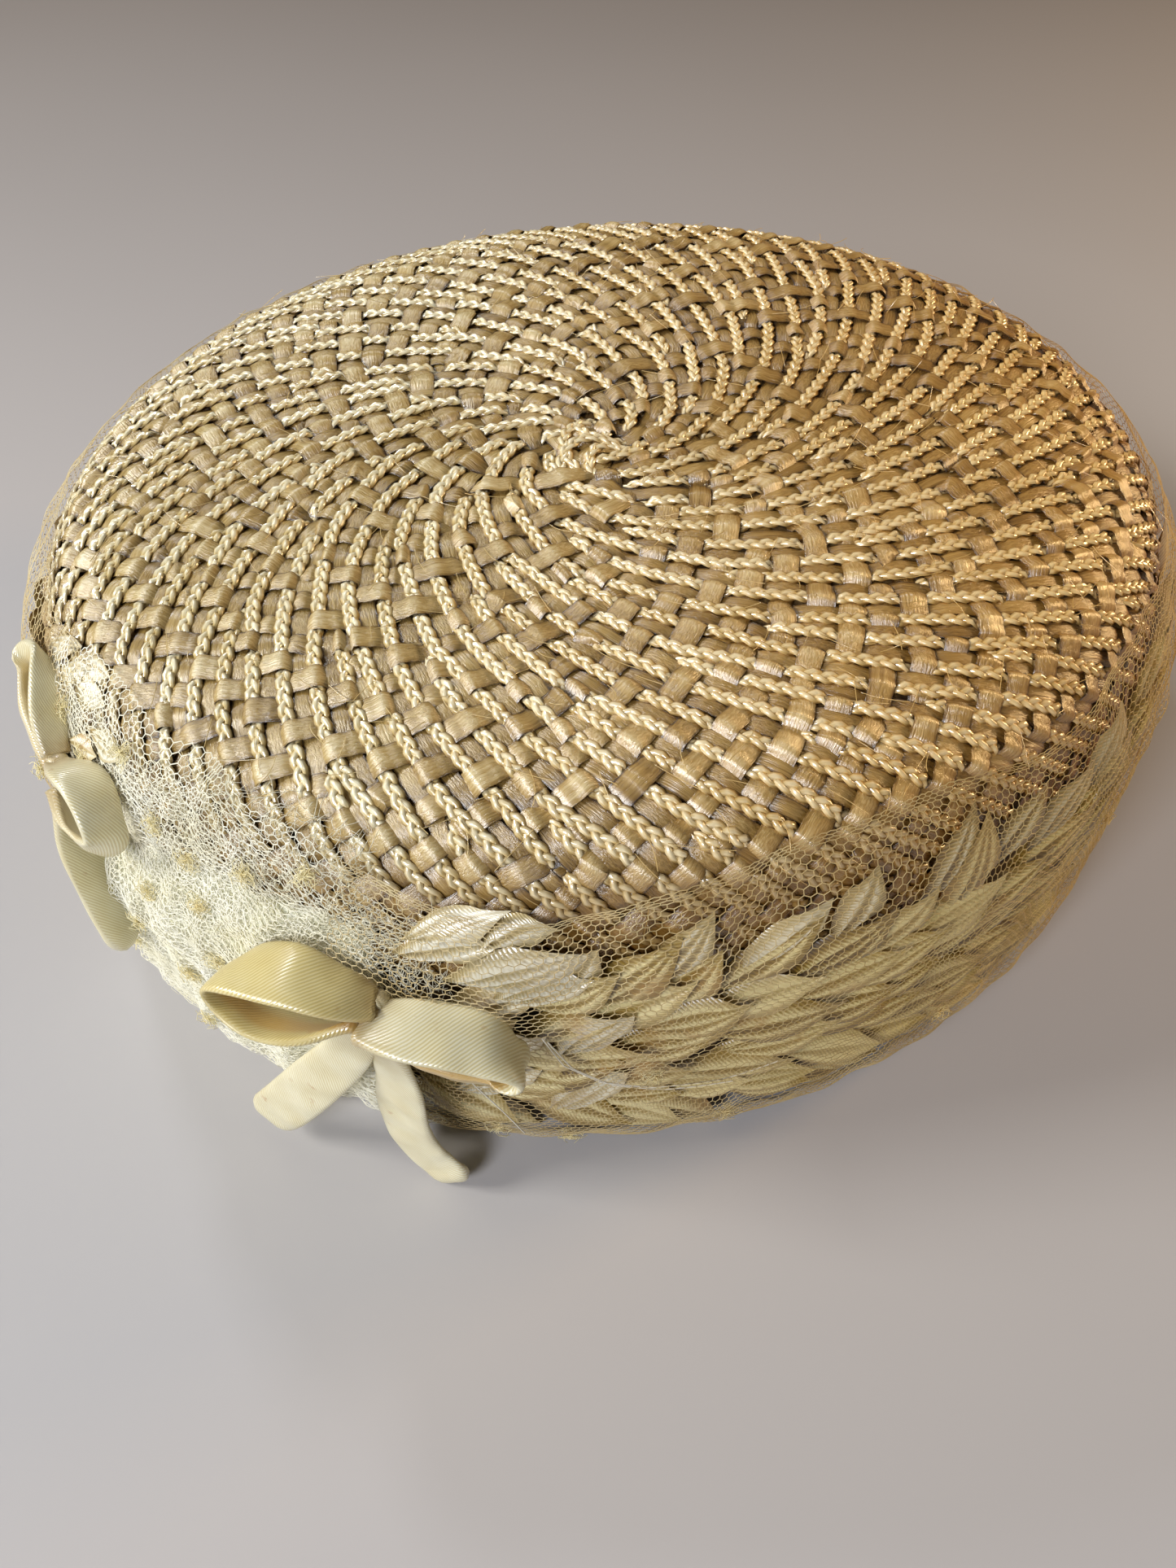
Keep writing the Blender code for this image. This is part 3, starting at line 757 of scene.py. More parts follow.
def plait_tree() -> NodeTree:
    """Plaits three flattened strands along guide lines that carry an outward direction.

    Returns:
        The tree. Its guides have the attributes outward, tint and fade.
    """
    tree, put, given = shape_tree("Plait cords", Period="Float", Swing="Float", Rise="Float",
                                  Strand_Width="Float", Strand_Depth="Float", Step="Float",
                                  Material="Material")
    outward = put("InputNamedAttribute", "outward", data_type="FLOAT_VECTOR")
    fade, run, wide = (put("InputNamedAttribute", name) for name in ("fade", "along", "across"))
    even = put("ResampleCurve", {"Curve": put("MeshToCurve", given["Geometry"]), "Length": given["Step"]},
               mode="LENGTH")
    rail = put("StoreNamedAttribute", {"Geometry": even, "Name": "along",
                                       "Value": put("SplineParameter", out="Length")})
    side = put("VectorMath CROSS_PRODUCT", put("InputTangent"), outward)
    turns = put("Math DIVIDE", run, given["Period"])
    plait = put("JoinGeometry")
    for k in range(3):
        phase = put("Math ADD", turns, k / 3)
        sway = put("Math SINE", put("Math MULTIPLY", phase, FULL_TURN))
        climb = put("Math SINE", put("Math MULTIPLY", phase, 2 * FULL_TURN))
        reach = put("Math MULTIPLY", put("Math MULTIPLY", sway, given["Swing"]), fade)
        lift = put("Math MULTIPLY", climb, given["Rise"])
        ways = [put("VectorMath SCALE", {0: way, "Scale": size})
                for way, size in ((side, reach), (outward, lift))]
        marked = put("StoreNamedAttribute", {"Geometry": rail, "Name": "relief", "Value": climb})
        moved = put("SetPosition", {"Geometry": marked, "Offset": put("VectorMath ADD", *ways)})
        tree.links.new(moved, plait.node.inputs[0])
    rail = put("SetCurveNormal", {"Curve": plait, "Normal": outward}, mode="FREE")
    ring = put("CurvePrimitiveCircle", {"Resolution": 4, "Radius": 1.0})
    size = put("CombineXYZ", given["Strand Depth"], given["Strand Width"], 1.0)
    beside = put("SeparateXYZ", put("InputPosition"), out="Y")
    section = put("StoreNamedAttribute", {"Geometry": put("Transform", {"Geometry": ring, "Scale": size}),
                                          "Name": "across", "Value": beside})
    swept = put("CurveToMesh", {"Curve": rail, "Profile Curve": section, "Scale": fade})
    end_shape(put, mapped(put, swept, wide, run), given["Material"])
    return tree


def mesh_tree() -> NodeTree:
    """Sweeps a thread with a roofed outer face along every edge of a mesh, for net.

    Returns:
        The tree. Its guides have the attribute outward.
    """
    tree, put, given = shape_tree("Lay net", Thread_Width="Float", Material="Material")
    section, side = flat_section(put, 3)
    rise = put("Math SUBTRACT", 1.0, put("Math ABSOLUTE", side))
    section = put("SetPosition", {"Geometry": section, "Offset": put("CombineXYZ", rise)})
    swept = put("CurveToMesh", {"Curve": guide_curves(put, given["Geometry"]), "Profile Curve": section,
                                "Scale": given["Thread Width"]})
    end_shape(put, swept, given["Material"])
    return tree


def thread_tree() -> NodeTree:
    """Sweeps a thin round thread along every edge of a mesh.

    Returns:
        The tree.
    """
    tree, put, given = shape_tree("Lay threads", Sides="Int", Thread_Radius="Float", Material="Material")
    section = put("CurvePrimitiveCircle", {"Resolution": given["Sides"], "Radius": given["Thread Radius"]})
    swept = put("CurveToMesh", {"Curve": put("MeshToCurve", given["Geometry"]), "Profile Curve": section})
    end_shape(put, swept, given["Material"])
    return tree


def scatter_tree() -> NodeTree:
    """Sets one of several shapes at each point of a mesh, turned and sized by its attributes.

    Returns:
        The tree. Its points have the attributes lie, grow, shape and tint.
    """
    tree, put, given = shape_tree("Set leaves", Shapes="Collection", Material="Material")
    lie, grown = (put("InputNamedAttribute", name, data_type="FLOAT_VECTOR") for name in ("lie", "grow"))
    shapes = put("CollectionInfo", {"Collection": given["Shapes"], "Separate Children": True,
                                    "Reset Children": True})
    placed = put("InstanceOnPoints", {"Points": given["Geometry"], "Instance": shapes, "Pick Instance": True,
                                      "Instance Index": put("InputNamedAttribute", "shape", data_type="INT"),
                                      "Rotation": put("FunctionNodeEulerToRotation", lie), "Scale": grown})
    end_shape(put, placed, given["Material"])
    return tree


class Guides:
    """Guide lines for a node tree, with what each of their points carries."""

    def __init__(self) -> None:
        """Starts with no lines."""
        self.points: list[Array] = []
        self.carried: dict[str, list[Array]] = {}

    def add(self, points: Array, **carried: Any) -> None:
        """Adds one line.

        Args:
            points: its points, one a row.
            carried: for each attribute, a value or one value a point.
        """
        self.points.append(points)
        for name, value in carried.items():
            value = np.asarray(value, float)
            shape = (len(points), 3) if value.shape[-1:] == (3,) and value.ndim else (len(points),)
            self.carried.setdefault(name, []).append(np.broadcast_to(value, shape))

    def mesh(self, name: str) -> Mesh:
        """The lines as a mesh of edges.

        Args:
            name: the mesh's name.

        Returns:
            The mesh, with the attributes on its points.
        """
        points = np.concatenate(self.points)
        edges, first = [], 0
        for line in self.points:
            ends = np.arange(first, first + len(line) - 1)
            edges.append(np.stack([ends, ends + 1], -1))
            first += len(line)
        return edge_mesh(name, points, np.concatenate(edges),
                         {key: np.concatenate(value) for key, value in self.carried.items()})


def edge_mesh(name: str, points: Array, edges: Array, carried: dict[str, Array]) -> Mesh:
    """A mesh of points and edges with named values on its points.

    Args:
        name: the mesh's name.
        points: one point a row.
        edges: two point numbers a row.
        carried: values for each attribute.

    Returns:
        The mesh.
    """
    mesh = bpy.data.meshes.new(name)
    mesh.from_pydata(points.tolist(), np.asarray(edges).tolist(), [])
    for key, value in carried.items():
        set_values(mesh, key, value)
    return mesh


def set_values(mesh: Mesh, name: str, values: Array) -> None:
    """Stores a number, a vector or a whole number on each point of a mesh."""
    if values.dtype.kind in "iu":
        layer = mesh.attributes.new(name, "INT", "POINT")
        layer.data.foreach_set("value", values.astype(np.int32))
    elif values.ndim == 2:
        layer = mesh.attributes.new(name, "FLOAT_VECTOR", "POINT")
        layer.data.foreach_set("vector", values.astype(np.float32).ravel())
    else:
        layer = mesh.attributes.new(name, "FLOAT", "POINT")
        layer.data.foreach_set("value", values.astype(np.float32))


def grid_object(name: str, points: Array, wraps: bool, material: Material,
                spots: Array | None = None) -> Object:
    """A surface through a grid of points.

    Args:
        name: the object's name.
        points: rows by columns of points.
        wraps: whether the last column joins the first.
        material: its finish.
        spots: UV place of each point in millimetres, rows by columns.

    Returns:
        The linked object, shaded smooth.
    """
    rows, columns = points.shape[:2]
    index = np.arange(rows * columns).reshape(rows, columns)
    beside = np.roll(index, -1, 1) if wraps else index[:, 1:]
    near = index if wraps else index[:, :-1]
    faces = np.stack([near[:-1], beside[:-1], beside[1:], near[1:]], -1).reshape(-1, 4)
    mesh = bpy.data.meshes.new(name)
    mesh.from_pydata(points.reshape(-1, 3).tolist(), [], faces.tolist())
    if spots is not None:
        layer = mesh.uv_layers.new(name="UVMap")
        flat = spots.reshape(-1, 2)
        corners = np.empty(len(mesh.loops), np.int32)
        mesh.loops.foreach_get("vertex_index", corners)
        layer.data.foreach_set("uv", flat[corners].astype(np.float32).ravel())
    mesh.shade_smooth()
    made = bpy.data.objects.new(name, mesh)
    made.data.materials.append(material)
    bpy.context.scene.collection.objects.link(made)
    return made


def seal(mesh: Mesh, rings: list[list[int]], slots: tuple[int, ...] = ()) -> None:
    """Closes an open mesh, turns its faces outwards and shades it smooth.

    Args:
        mesh: the open mesh.
        rings: point numbers of each new face.
        slots: material slot of each new face, where it isn't the first.
    """
    shape = bmesh.new()
    shape.from_mesh(mesh)
    shape.verts.ensure_lookup_table()
    for k, ring in enumerate(rings):
        shape.faces.new([shape.verts[i] for i in ring]).material_index = slots[k] if slots else 0
    bmesh.ops.recalc_face_normals(shape, faces=shape.faces)
    for face in shape.faces:
        face.smooth = True
    shape.to_mesh(mesh)
    shape.free()


def close_ends(mesh: Mesh, rows: int, around: int) -> None:
    """Closes both ends of a tube of that many rows, with that many points round it."""
    seal(mesh, [list(range(first, first + around)) for first in (0, (rows - 1) * around)])


def grow_threads(name: str, lines: Guides, radius: float, thread: Material, sides: int = 3) -> Object:
    """Draws guide lines as round threads of a radius in millimetres."""
    return grow(name, lines.mesh(name), thread_tree(),
                {"Sides": sides, "Thread Radius": radius * MM, "Material": thread})


def grow_net(name: str, points: Array, edges: Array, width: float, thread: Material) -> Object:
    """Draws the edges of a draped net as threads that face outwards."""
    guides = edge_mesh(name, points, edges, {"outward": points - np.array([*FORM.axis, 0.0])})
    return grow(name, guides, mesh_tree(), {"Thread Width": width, "Material": thread})


class Strand:
    """One strand of the weave, on its way out from the middle of the top and down the side."""

    def __init__(self, layer: Layer, start: int, angle: float) -> None:
        """Starts the strand.

        Args:
            layer: the kind of strand.
            start: number of the step where it begins.
            angle: its angle there.
        """
        self.layer = layer
        self.start = start
        self.angles: list[float] = [angle]
        self.meets: list[tuple[float, "Strand"]] = []
        self.over: dict[float, bool] = {}


@dataclass
class StrawCrown:
    """The woven straw: a wall, flat ribbons both ways and braided cord on top."""

    wall_out: float = 1.15 * MM       # the wall's outer face lies this far under the weave's surface
    wall_in: float = 2.0 * MM
    binding: float = 3.0 * MM
    step: float = 0.4 * MM
    first_reach: float = 2.4 * MM
    last_reach: float = 104.0 * MM
    braid_lean: float = math.radians(44.5)
    cross_lean: float = math.radians(-46.0)
    braid_pitch: float = 3.95 * MM
    cross_pitch: float = 4.2 * MM
    flat_width: float = 2.45 * MM
    cross_width: float = 3.6 * MM
    plait_period: float = 6.5 * MM
    plait_swing: float = 0.64 * MM
    plait_rise: float = 0.27 * MM
    strand_half: tuple[float, float] = (0.53 * MM, 0.34 * MM)
    plait_step: float = 0.86 * MM
    # Heights over the weave's base in millimetres: a flat ribbon on top, a cross ribbon over a braid, one
    # that a braid rides over, and a cross ribbon over a flat one
    levels: tuple[float, float, float, float] = (0.68, 1.36, 0.1, 0.84)
    braid_height: float = 0.86 * MM
    dip: float = 1.5 * MM             # how far a braid sinks where a ribbon holds it down
    evening: float = 0.22             # how much of an uneven spacing each step takes out
    stray_radius: float = 0.055       # of the loose hairs of straw, in millimetres
    pieces: list[Object] = field(default_factory=list)

    def build_wall(self, outer: Material, inner: Material) -> Object:
        """Builds the closed wall behind the weave.

        Args:
            outer: finish of the face behind the strands.
            inner: finish of the face inside the hollow.

        Returns:
            The wall.
        """
        angles = np.linspace(0, FULL_TURN, 112, endpoint=False)
        outside = np.concatenate([[0, 0.4, 1.5, 2.9], np.linspace(3.2, 52, 14), np.linspace(54, 84, 22),
                                  np.linspace(90, FORM.whole / MM - 0.6, 12)]) * MM
        depth = np.where(outside < self.binding, 0.15 * MM, self.wall_out)
        inside = outside[1:][::-1]
        along = np.concatenate([outside[::-1], [0.0], inside[::-1]])
        off = np.concatenate([-depth[::-1], [-self.wall_in], np.full(len(inside), -self.wall_in)])
        grid = np.stack([FORM.place(angles, a, o) for a, o in zip(along, off)])
        grid[..., 2] = np.maximum(grid[..., 2], 0.0)
        spots = np.stack(np.broadcast_arrays(angles * FORM.mean_radius / MM, along[:, None] / MM), -1)
        wall = grid_object("straw_wall", grid, True, outer, spots)
        wall.data.materials.append(inner)
        rows, width = grid.shape[:2]
        for face in wall.data.polygons:
            face.material_index = int(face.index // width >= len(outside))
        ring = list(range(width))
        seal(wall.data, [ring[::-1], [(rows - 1) * width + k for k in ring]], (0, 1))
        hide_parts("straw_crown")
        return wall

    def reaches(self) -> Array:
        """Distances from the middle of the top, along the straw, at which strands are laid."""
        return np.arange(self.first_reach, self.last_reach, self.step)

    def lay_family(self, kinds: tuple[Layer, ...], pitch: float, lean: float, seed: int) -> list[Strand]:
        """Lays one family of strands that keeps its spacing by taking in new strands outwards.

        Args:
            kinds: the kinds of strand that take turns in the family.
            pitch: distance between two of the same kind.
            lean: angle off the straight way out, positive for anticlockwise.
            seed: fixes the small irregularities.

        Returns:
            The strands, in order round the cap.
        """
        rng = np.random.default_rng(seed)
        group = len(kinds)
        row: list[Strand] = []
        steps = self.reaches()
        radii = FORM.radius_at(FORM.whole - steps)
        for k, radius in enumerate(radii):
            wanted = max(4, round(FULL_TURN * radius * math.cos(lean) / pitch))
            if not row:
                for i in range(wanted * group):
                    row.append(Strand(kinds[i % group], k, FULL_TURN * i / (wanted * group)))
            angles = np.array([s.angles[-1] for s in row])
            if k:
                before, after = np.roll(angles, 1), np.roll(angles, -1)
                before[0] -= FULL_TURN
                after[-1] += FULL_TURN
                angles = angles + self.evening * ((before + after) / 2 - angles)
                angles += math.tan(lean) * self.step / radius
            while len(row) < wanted * group:
                after = np.roll(angles, -1)
                after[-1] += FULL_TURN
                gaps = after - angles
                open_room = np.roll(gaps, 1) + gaps + np.roll(gaps, -1)
                open_room = open_room * rng.uniform(0.985, 1.015, len(gaps))
                open_room[np.arange(len(gaps)) % group != group - 1] = 0
                at = int(open_room.argmax())
                new = [angles[at] + gaps[at] * (i + 1) / (group + 1) for i in range(group)]
                row[at + 1:at + 1] = [Strand(kind, k, 0.0) for kind in kinds]
                angles = np.insert(angles, at + 1, new)
            for strand, angle in zip(row, angles):
                if strand.start == k:
                    strand.angles[0] = float(angle)
                else:
                    strand.angles.append(float(angle))
        return row

    def cross(self, out_way: list[Strand], back_way: list[Strand]) -> None:
        """Notes where the strands of two families cross.

        Args:
            out_way: strands that lean anticlockwise.
            back_way: strands that lean clockwise.
        """
        steps = self.reaches()
        for first in out_way:
            for second in back_way:
                start = max(first.start, second.start)
                gap = (np.array(first.angles[start - first.start:])
                       - np.array(second.angles[start - second.start:])) / FULL_TURN
                whole = np.floor(gap)
                for k in np.flatnonzero(np.diff(whole) > 0):
                    share = (whole[k + 1] - gap[k]) / max(gap[k + 1] - gap[k], 1e-9)
                    reach = float(steps[start + k] + share * self.step)
                    first.meets.append((reach, second))
                    second.meets.append((reach, first))
        for strand in out_way + back_way:
            strand.meets.sort(key=lambda meet: meet[0])

    def pick_patches(self, braids: list[Strand]) -> None:
        """Picks where each braid dips under a ribbon: every third crossing, in step with its neighbour.

        Args:
            braids: the braided strands in order round the cap.
        """
        drift = 0.9 * MM
        previous: Array = np.array([])
        for braid in braids:
            reaches = np.array([reach for reach, _ in braid.meets])
            chosen: list[int] = []
            at = 0
            while True:
                first, last = (at + 2, at + 5) if chosen else (0, 3)
                options = range(first, min(last, len(reaches)))
                if not options:
                    break
                costs = []
                for option in options:
                    want = np.abs(previous + drift - reaches[option]).min() if len(previous) else 0.0
                    costs.append(want + (0.7 * MM * abs(option - at - 3) if chosen else 0.0))
                at = options[int(np.argmin(costs))]
                chosen.append(at)
            inner = previous[previous < (reaches[0] if len(reaches) else 0.0)]
            previous = np.concatenate([inner, reaches[chosen]])
            for k, (reach, other) in enumerate(braid.meets):
                dips = k in chosen
                braid.over[reach] = not dips
                other.over[reach] = dips

    def pick_checks(self, flats: list[Strand]) -> None:
        """Sets the flat ribbons into plain weave, each opposite to its neighbour.

        Args:
            flats: the flat strands in order round the cap.
        """
        before: dict[int, list[tuple[float, bool]]] = {}
        for flat in flats:
            votes = 0
            for k, (reach, other) in enumerate(flat.meets):
                near = [state for there, state in before.get(id(other), []) if abs(there - reach) < 5 * MM]
                if near:
                    votes += 1 if near[-1] != (k % 2 == 0) else -1
            first = votes >= 0
            for k, (reach, other) in enumerate(flat.meets):
                up = (k % 2 == 0) == first
                flat.over[reach] = up
                other.over[reach] = not up
                before.setdefault(id(other), []).append((reach, up))

    def heights(self, strand: Strand, steps: Array) -> Array:
        """Height of a strand over the weave's base at each step, from how it passes its neighbours.

        Args:
            strand: the strand.
            steps: its distances from the middle of the top.

        Returns:
            One height a step.
        """
        if strand.layer is Layer.BRAID:
            height = np.full(len(steps), self.braid_height)
            for reach, _ in strand.meets:
                if not strand.over[reach]:
                    gap = np.abs(steps - reach) / (1.75 * MM)
                    height -= self.dip * np.where(gap < 1, np.cos(gap * math.pi / 2) ** 2, 0)
            return height
        flat_top, over_braid, under_braid, over_flat = self.levels
        knots, levels = [steps[0] - 1 * MM], [0.0]
        for reach, other in strand.meets:
            up = strand.over[reach]
            if strand.layer is Layer.FLAT:
                level = flat_top if up else 0.0
            elif other.layer is Layer.BRAID:
                level = over_braid if up else under_braid
            else:
                level = over_flat if up else 0.0
            if reach > knots[-1]:
                knots.append(reach)
                levels.append(level)
        knots.append(steps[-1] + 1 * MM)
        levels.append(0.0)
        at = np.clip(np.searchsorted(knots, steps) - 1, 0, len(knots) - 2)
        place, level_at = np.array(knots), np.array(levels)
        share = np.clip((steps - place[at]) / np.maximum(place[at + 1] - place[at], 1e-9), 0, 1)
        share = np.clip((share - 0.5) * 1.25 + 0.5, 0, 1)
        share = share * share * (3 - 2 * share)
        return (level_at[at] + share * (level_at[at + 1] - level_at[at])) * MM

    def guides(self, strands: list[Strand], width: float, thin: int, seed: int) -> Guides:
        """Guide lines for one kind of strand.

        Args:
            strands: the strands.
            width: their width.
            thin: keep one step in this many.
            seed: fixes the small irregularities.

        Returns:
            The lines with width, tint and lift on their points.
        """
        rng = np.random.default_rng(seed)
        steps = self.reaches()
        lines = Guides()
        for strand in strands:
            reach = steps[strand.start:][::thin]
            angle = np.array(strand.angles)[::thin]
            if len(reach) < 4:
                continue
            height = self.heights(strand, reach)
            fade = np.clip((reach - reach[0]) / (2.5 * MM), 0, 1)
            height = height * fade - 0.5 * MM * (1 - fade) * (strand.start > 0)
            phase = rng.uniform(0, 90)
            wander = 0.24 * np.sin(reach / (5.3 * MM) + phase) + 0.13 * np.sin(reach / (2.1 * MM) + 2 * phase)
            wander *= MM
            angle = angle + wander / np.maximum(FORM.radius_at(FORM.whole - reach), 4 * MM)
            along = FORM.whole - reach
            own = rng.uniform(0, 1)
            tint = np.clip(own * 0.6 + 0.4 * (0.5 + 0.5 * np.sin(reach / (6.1 * MM) + 3 * phase)), 0, 1)
            swollen = 1 + 0.09 * np.sin(reach / (3.4 * MM) + 5 * phase)
            # The lift, the strand's height over the weave, also lightens the raffia as painted light where it
            # rides high and darkens it as painted shade where it dips
            lines.add(FORM.place(angle, along, height - self.wall_out + 0.25 * MM),
                      outward=FORM.outward(angle, along), tint=tint, fade=0.4 + 0.6 * fade,
                      half_width=width / 2 * swollen * (0.35 + 0.65 * fade),
                      lift=np.clip(height / (1.3 * MM), 0, 1))
        return lines

    def knot_guides(self) -> Guides:
        """Short ribbons that cross over the middle of the top.

        Returns:
            The lines.
        """
        lines = Guides()
        run = np.linspace(-5.6, 5.6, 19)
        for turn, shift, lift in ((0.35, 0.6, 0.5), (1.95, -0.9, 0.9), (1.15, 1.6, 1.2), (2.75, -1.9, 1.35),
                                  (0.75, -2.6, 1.1), (2.3, 2.5, 1.0)):
            points = self.over_middle(run, turn - 0.07 * run, shift, lift * (1 - (run / 5.8) ** 2) - 0.85)
            tint = 0.5 + 0.3 * math.sin(9 * turn)
            lines.add(points, outward=(0.0, 0.0, 1.0), half_width=1.2 * MM, tint=tint, lift=0.8)
        return lines

    @staticmethod
    def over_middle(run: Array, way: Array, shift: float, rise: Array) -> Array:
        """A line that crosses the middle of the top, where the weave starts.

        Args:
            run: distances along it from its middle, in millimetres.
            way: its direction at each of them.
            shift: how far aside it passes the middle, in millimetres.
            rise: its height over the top, in millimetres.

        Returns:
            One point a row.
        """
        x = (run * np.cos(way) - shift * np.sin(way)) * MM + FORM.axis[0] + FORM.swirl[0]
        y = (run * np.sin(way) + shift * np.cos(way)) * MM + FORM.axis[1] + FORM.swirl[1]
        return np.stack([x, y, FORM.height + rise * MM], -1)

    def add_middle_cords(self, lines: Guides) -> None:
        """Lays four short braids through the middle, where the weave starts."""
        run = np.linspace(-7.0, 7.0, 60)
        for turn, shift, lift in ((0.55, -0.3, 1.25), (1.5, 2.3, 0.9), (2.5, -2.2, 0.8), (0.95, -3.0, 0.6)):
            points = self.over_middle(run, turn - 0.085 * run, shift, lift - 1.8 * (run / 7) ** 2)
            lines.add(points, outward=(0.0, 0.0, 1.0), half_width=1.0 * MM, tint=0.6, lift=0.9, fade=0.9)

    def stray_guides(self, count: int = 560) -> Guides:
        """Loose hairs of straw that have worked out of the weave.

        Args:
            count: how many.

        Returns:
            The lines.
        """
        rng = np.random.default_rng(31)
        lines = Guides()
        for _ in range(count):
            reach = 88 * MM * math.sqrt(rng.uniform(0.01, 1))
            angle = rng.uniform(0, FULL_TURN)
            lean = math.radians(40 if rng.uniform() < 0.6 else -50) + rng.normal(0, 0.3)
            share = np.linspace(0, 1, 5)
            length = rng.uniform(2.5, 7) * MM
            out = reach + share * length * math.cos(lean)
            radius = max(FORM.radius_at(FORM.whole - reach), 5 * MM)
            turn = angle + share * length * math.sin(lean) / radius + rng.normal(0, 0.02) * share ** 2
            lift = (0.5 + rng.uniform(0.3, 1.7) * share ** 1.5) * MM
            lines.add(FORM.place(turn, FORM.whole - out, lift))
        return lines

    def build(self, raffia: Material, cord: Material, wall: Material, lining: Material) -> list[Object]:
        """Builds the wall and weaves the strands over it.

        Args:
            raffia: finish of the flat ribbons.
            cord: finish of the braids.
            wall: finish of the wall's outer face.
            lining: finish of the wall's inner face.

        Returns:
            The pieces.
        """
        self.pieces = [self.build_wall(wall, lining)]
        out_way = self.lay_family((Layer.BRAID, Layer.FLAT), self.braid_pitch, self.braid_lean, 5)
        back_way = self.lay_family((Layer.CROSSING,), self.cross_pitch, self.cross_lean, 6)
        self.cross(out_way, back_way)
        braids = [s for s in out_way if s.layer is Layer.BRAID]
        flats = [s for s in out_way if s.layer is Layer.FLAT]
        self.pick_patches(braids)
        self.pick_checks(flats)
        strands = strand_tree()
        plain = {"Roundness": 1.0, "Material": raffia}
        plans = [
            ("straw_flat_ribbons", self.guides(flats, self.flat_width, 2, 11),
             {"Across Points": 3, "Crown": 0.16}),
            ("straw_cross_ribbons", self.guides(back_way, self.cross_width, 1, 12),
             {"Across Points": 4, "Crown": 0.22}),
            ("straw_knot", self.knot_guides(), {"Across Points": 5, "Crown": 0.2}),
        ]
        for name, lines, values in plans:
            self.pieces.append(grow(name, lines.mesh(name), strands, {**plain, **values}))
        plaits = plait_tree()
        for part in (0, 1):
            lines = self.guides(braids[part::2], 2 * MM, 1, 13 + part)
            if part:
                self.add_middle_cords(lines)
            self.pieces.append(grow(f"straw_braids_{part + 1}", lines.mesh("straw_braids"), plaits, {
                "Period": self.plait_period, "Swing": self.plait_swing, "Rise": self.plait_rise,
                "Strand Width": self.strand_half[0], "Strand Depth": self.strand_half[1],
                "Step": self.plait_step, "Material": cord}))
        self.pieces.append(grow_threads("straw_stray_fibres", self.stray_guides(), self.stray_radius, cord))
        return self.pieces


class LeafRow(NamedTuple):
    """One row of leaves of the wreath, in millimetres and degrees."""

    base: float
    slope: float
    base_off: float
    tip_off: float
    length: float
    width: float
    roll: float
    satin: bool


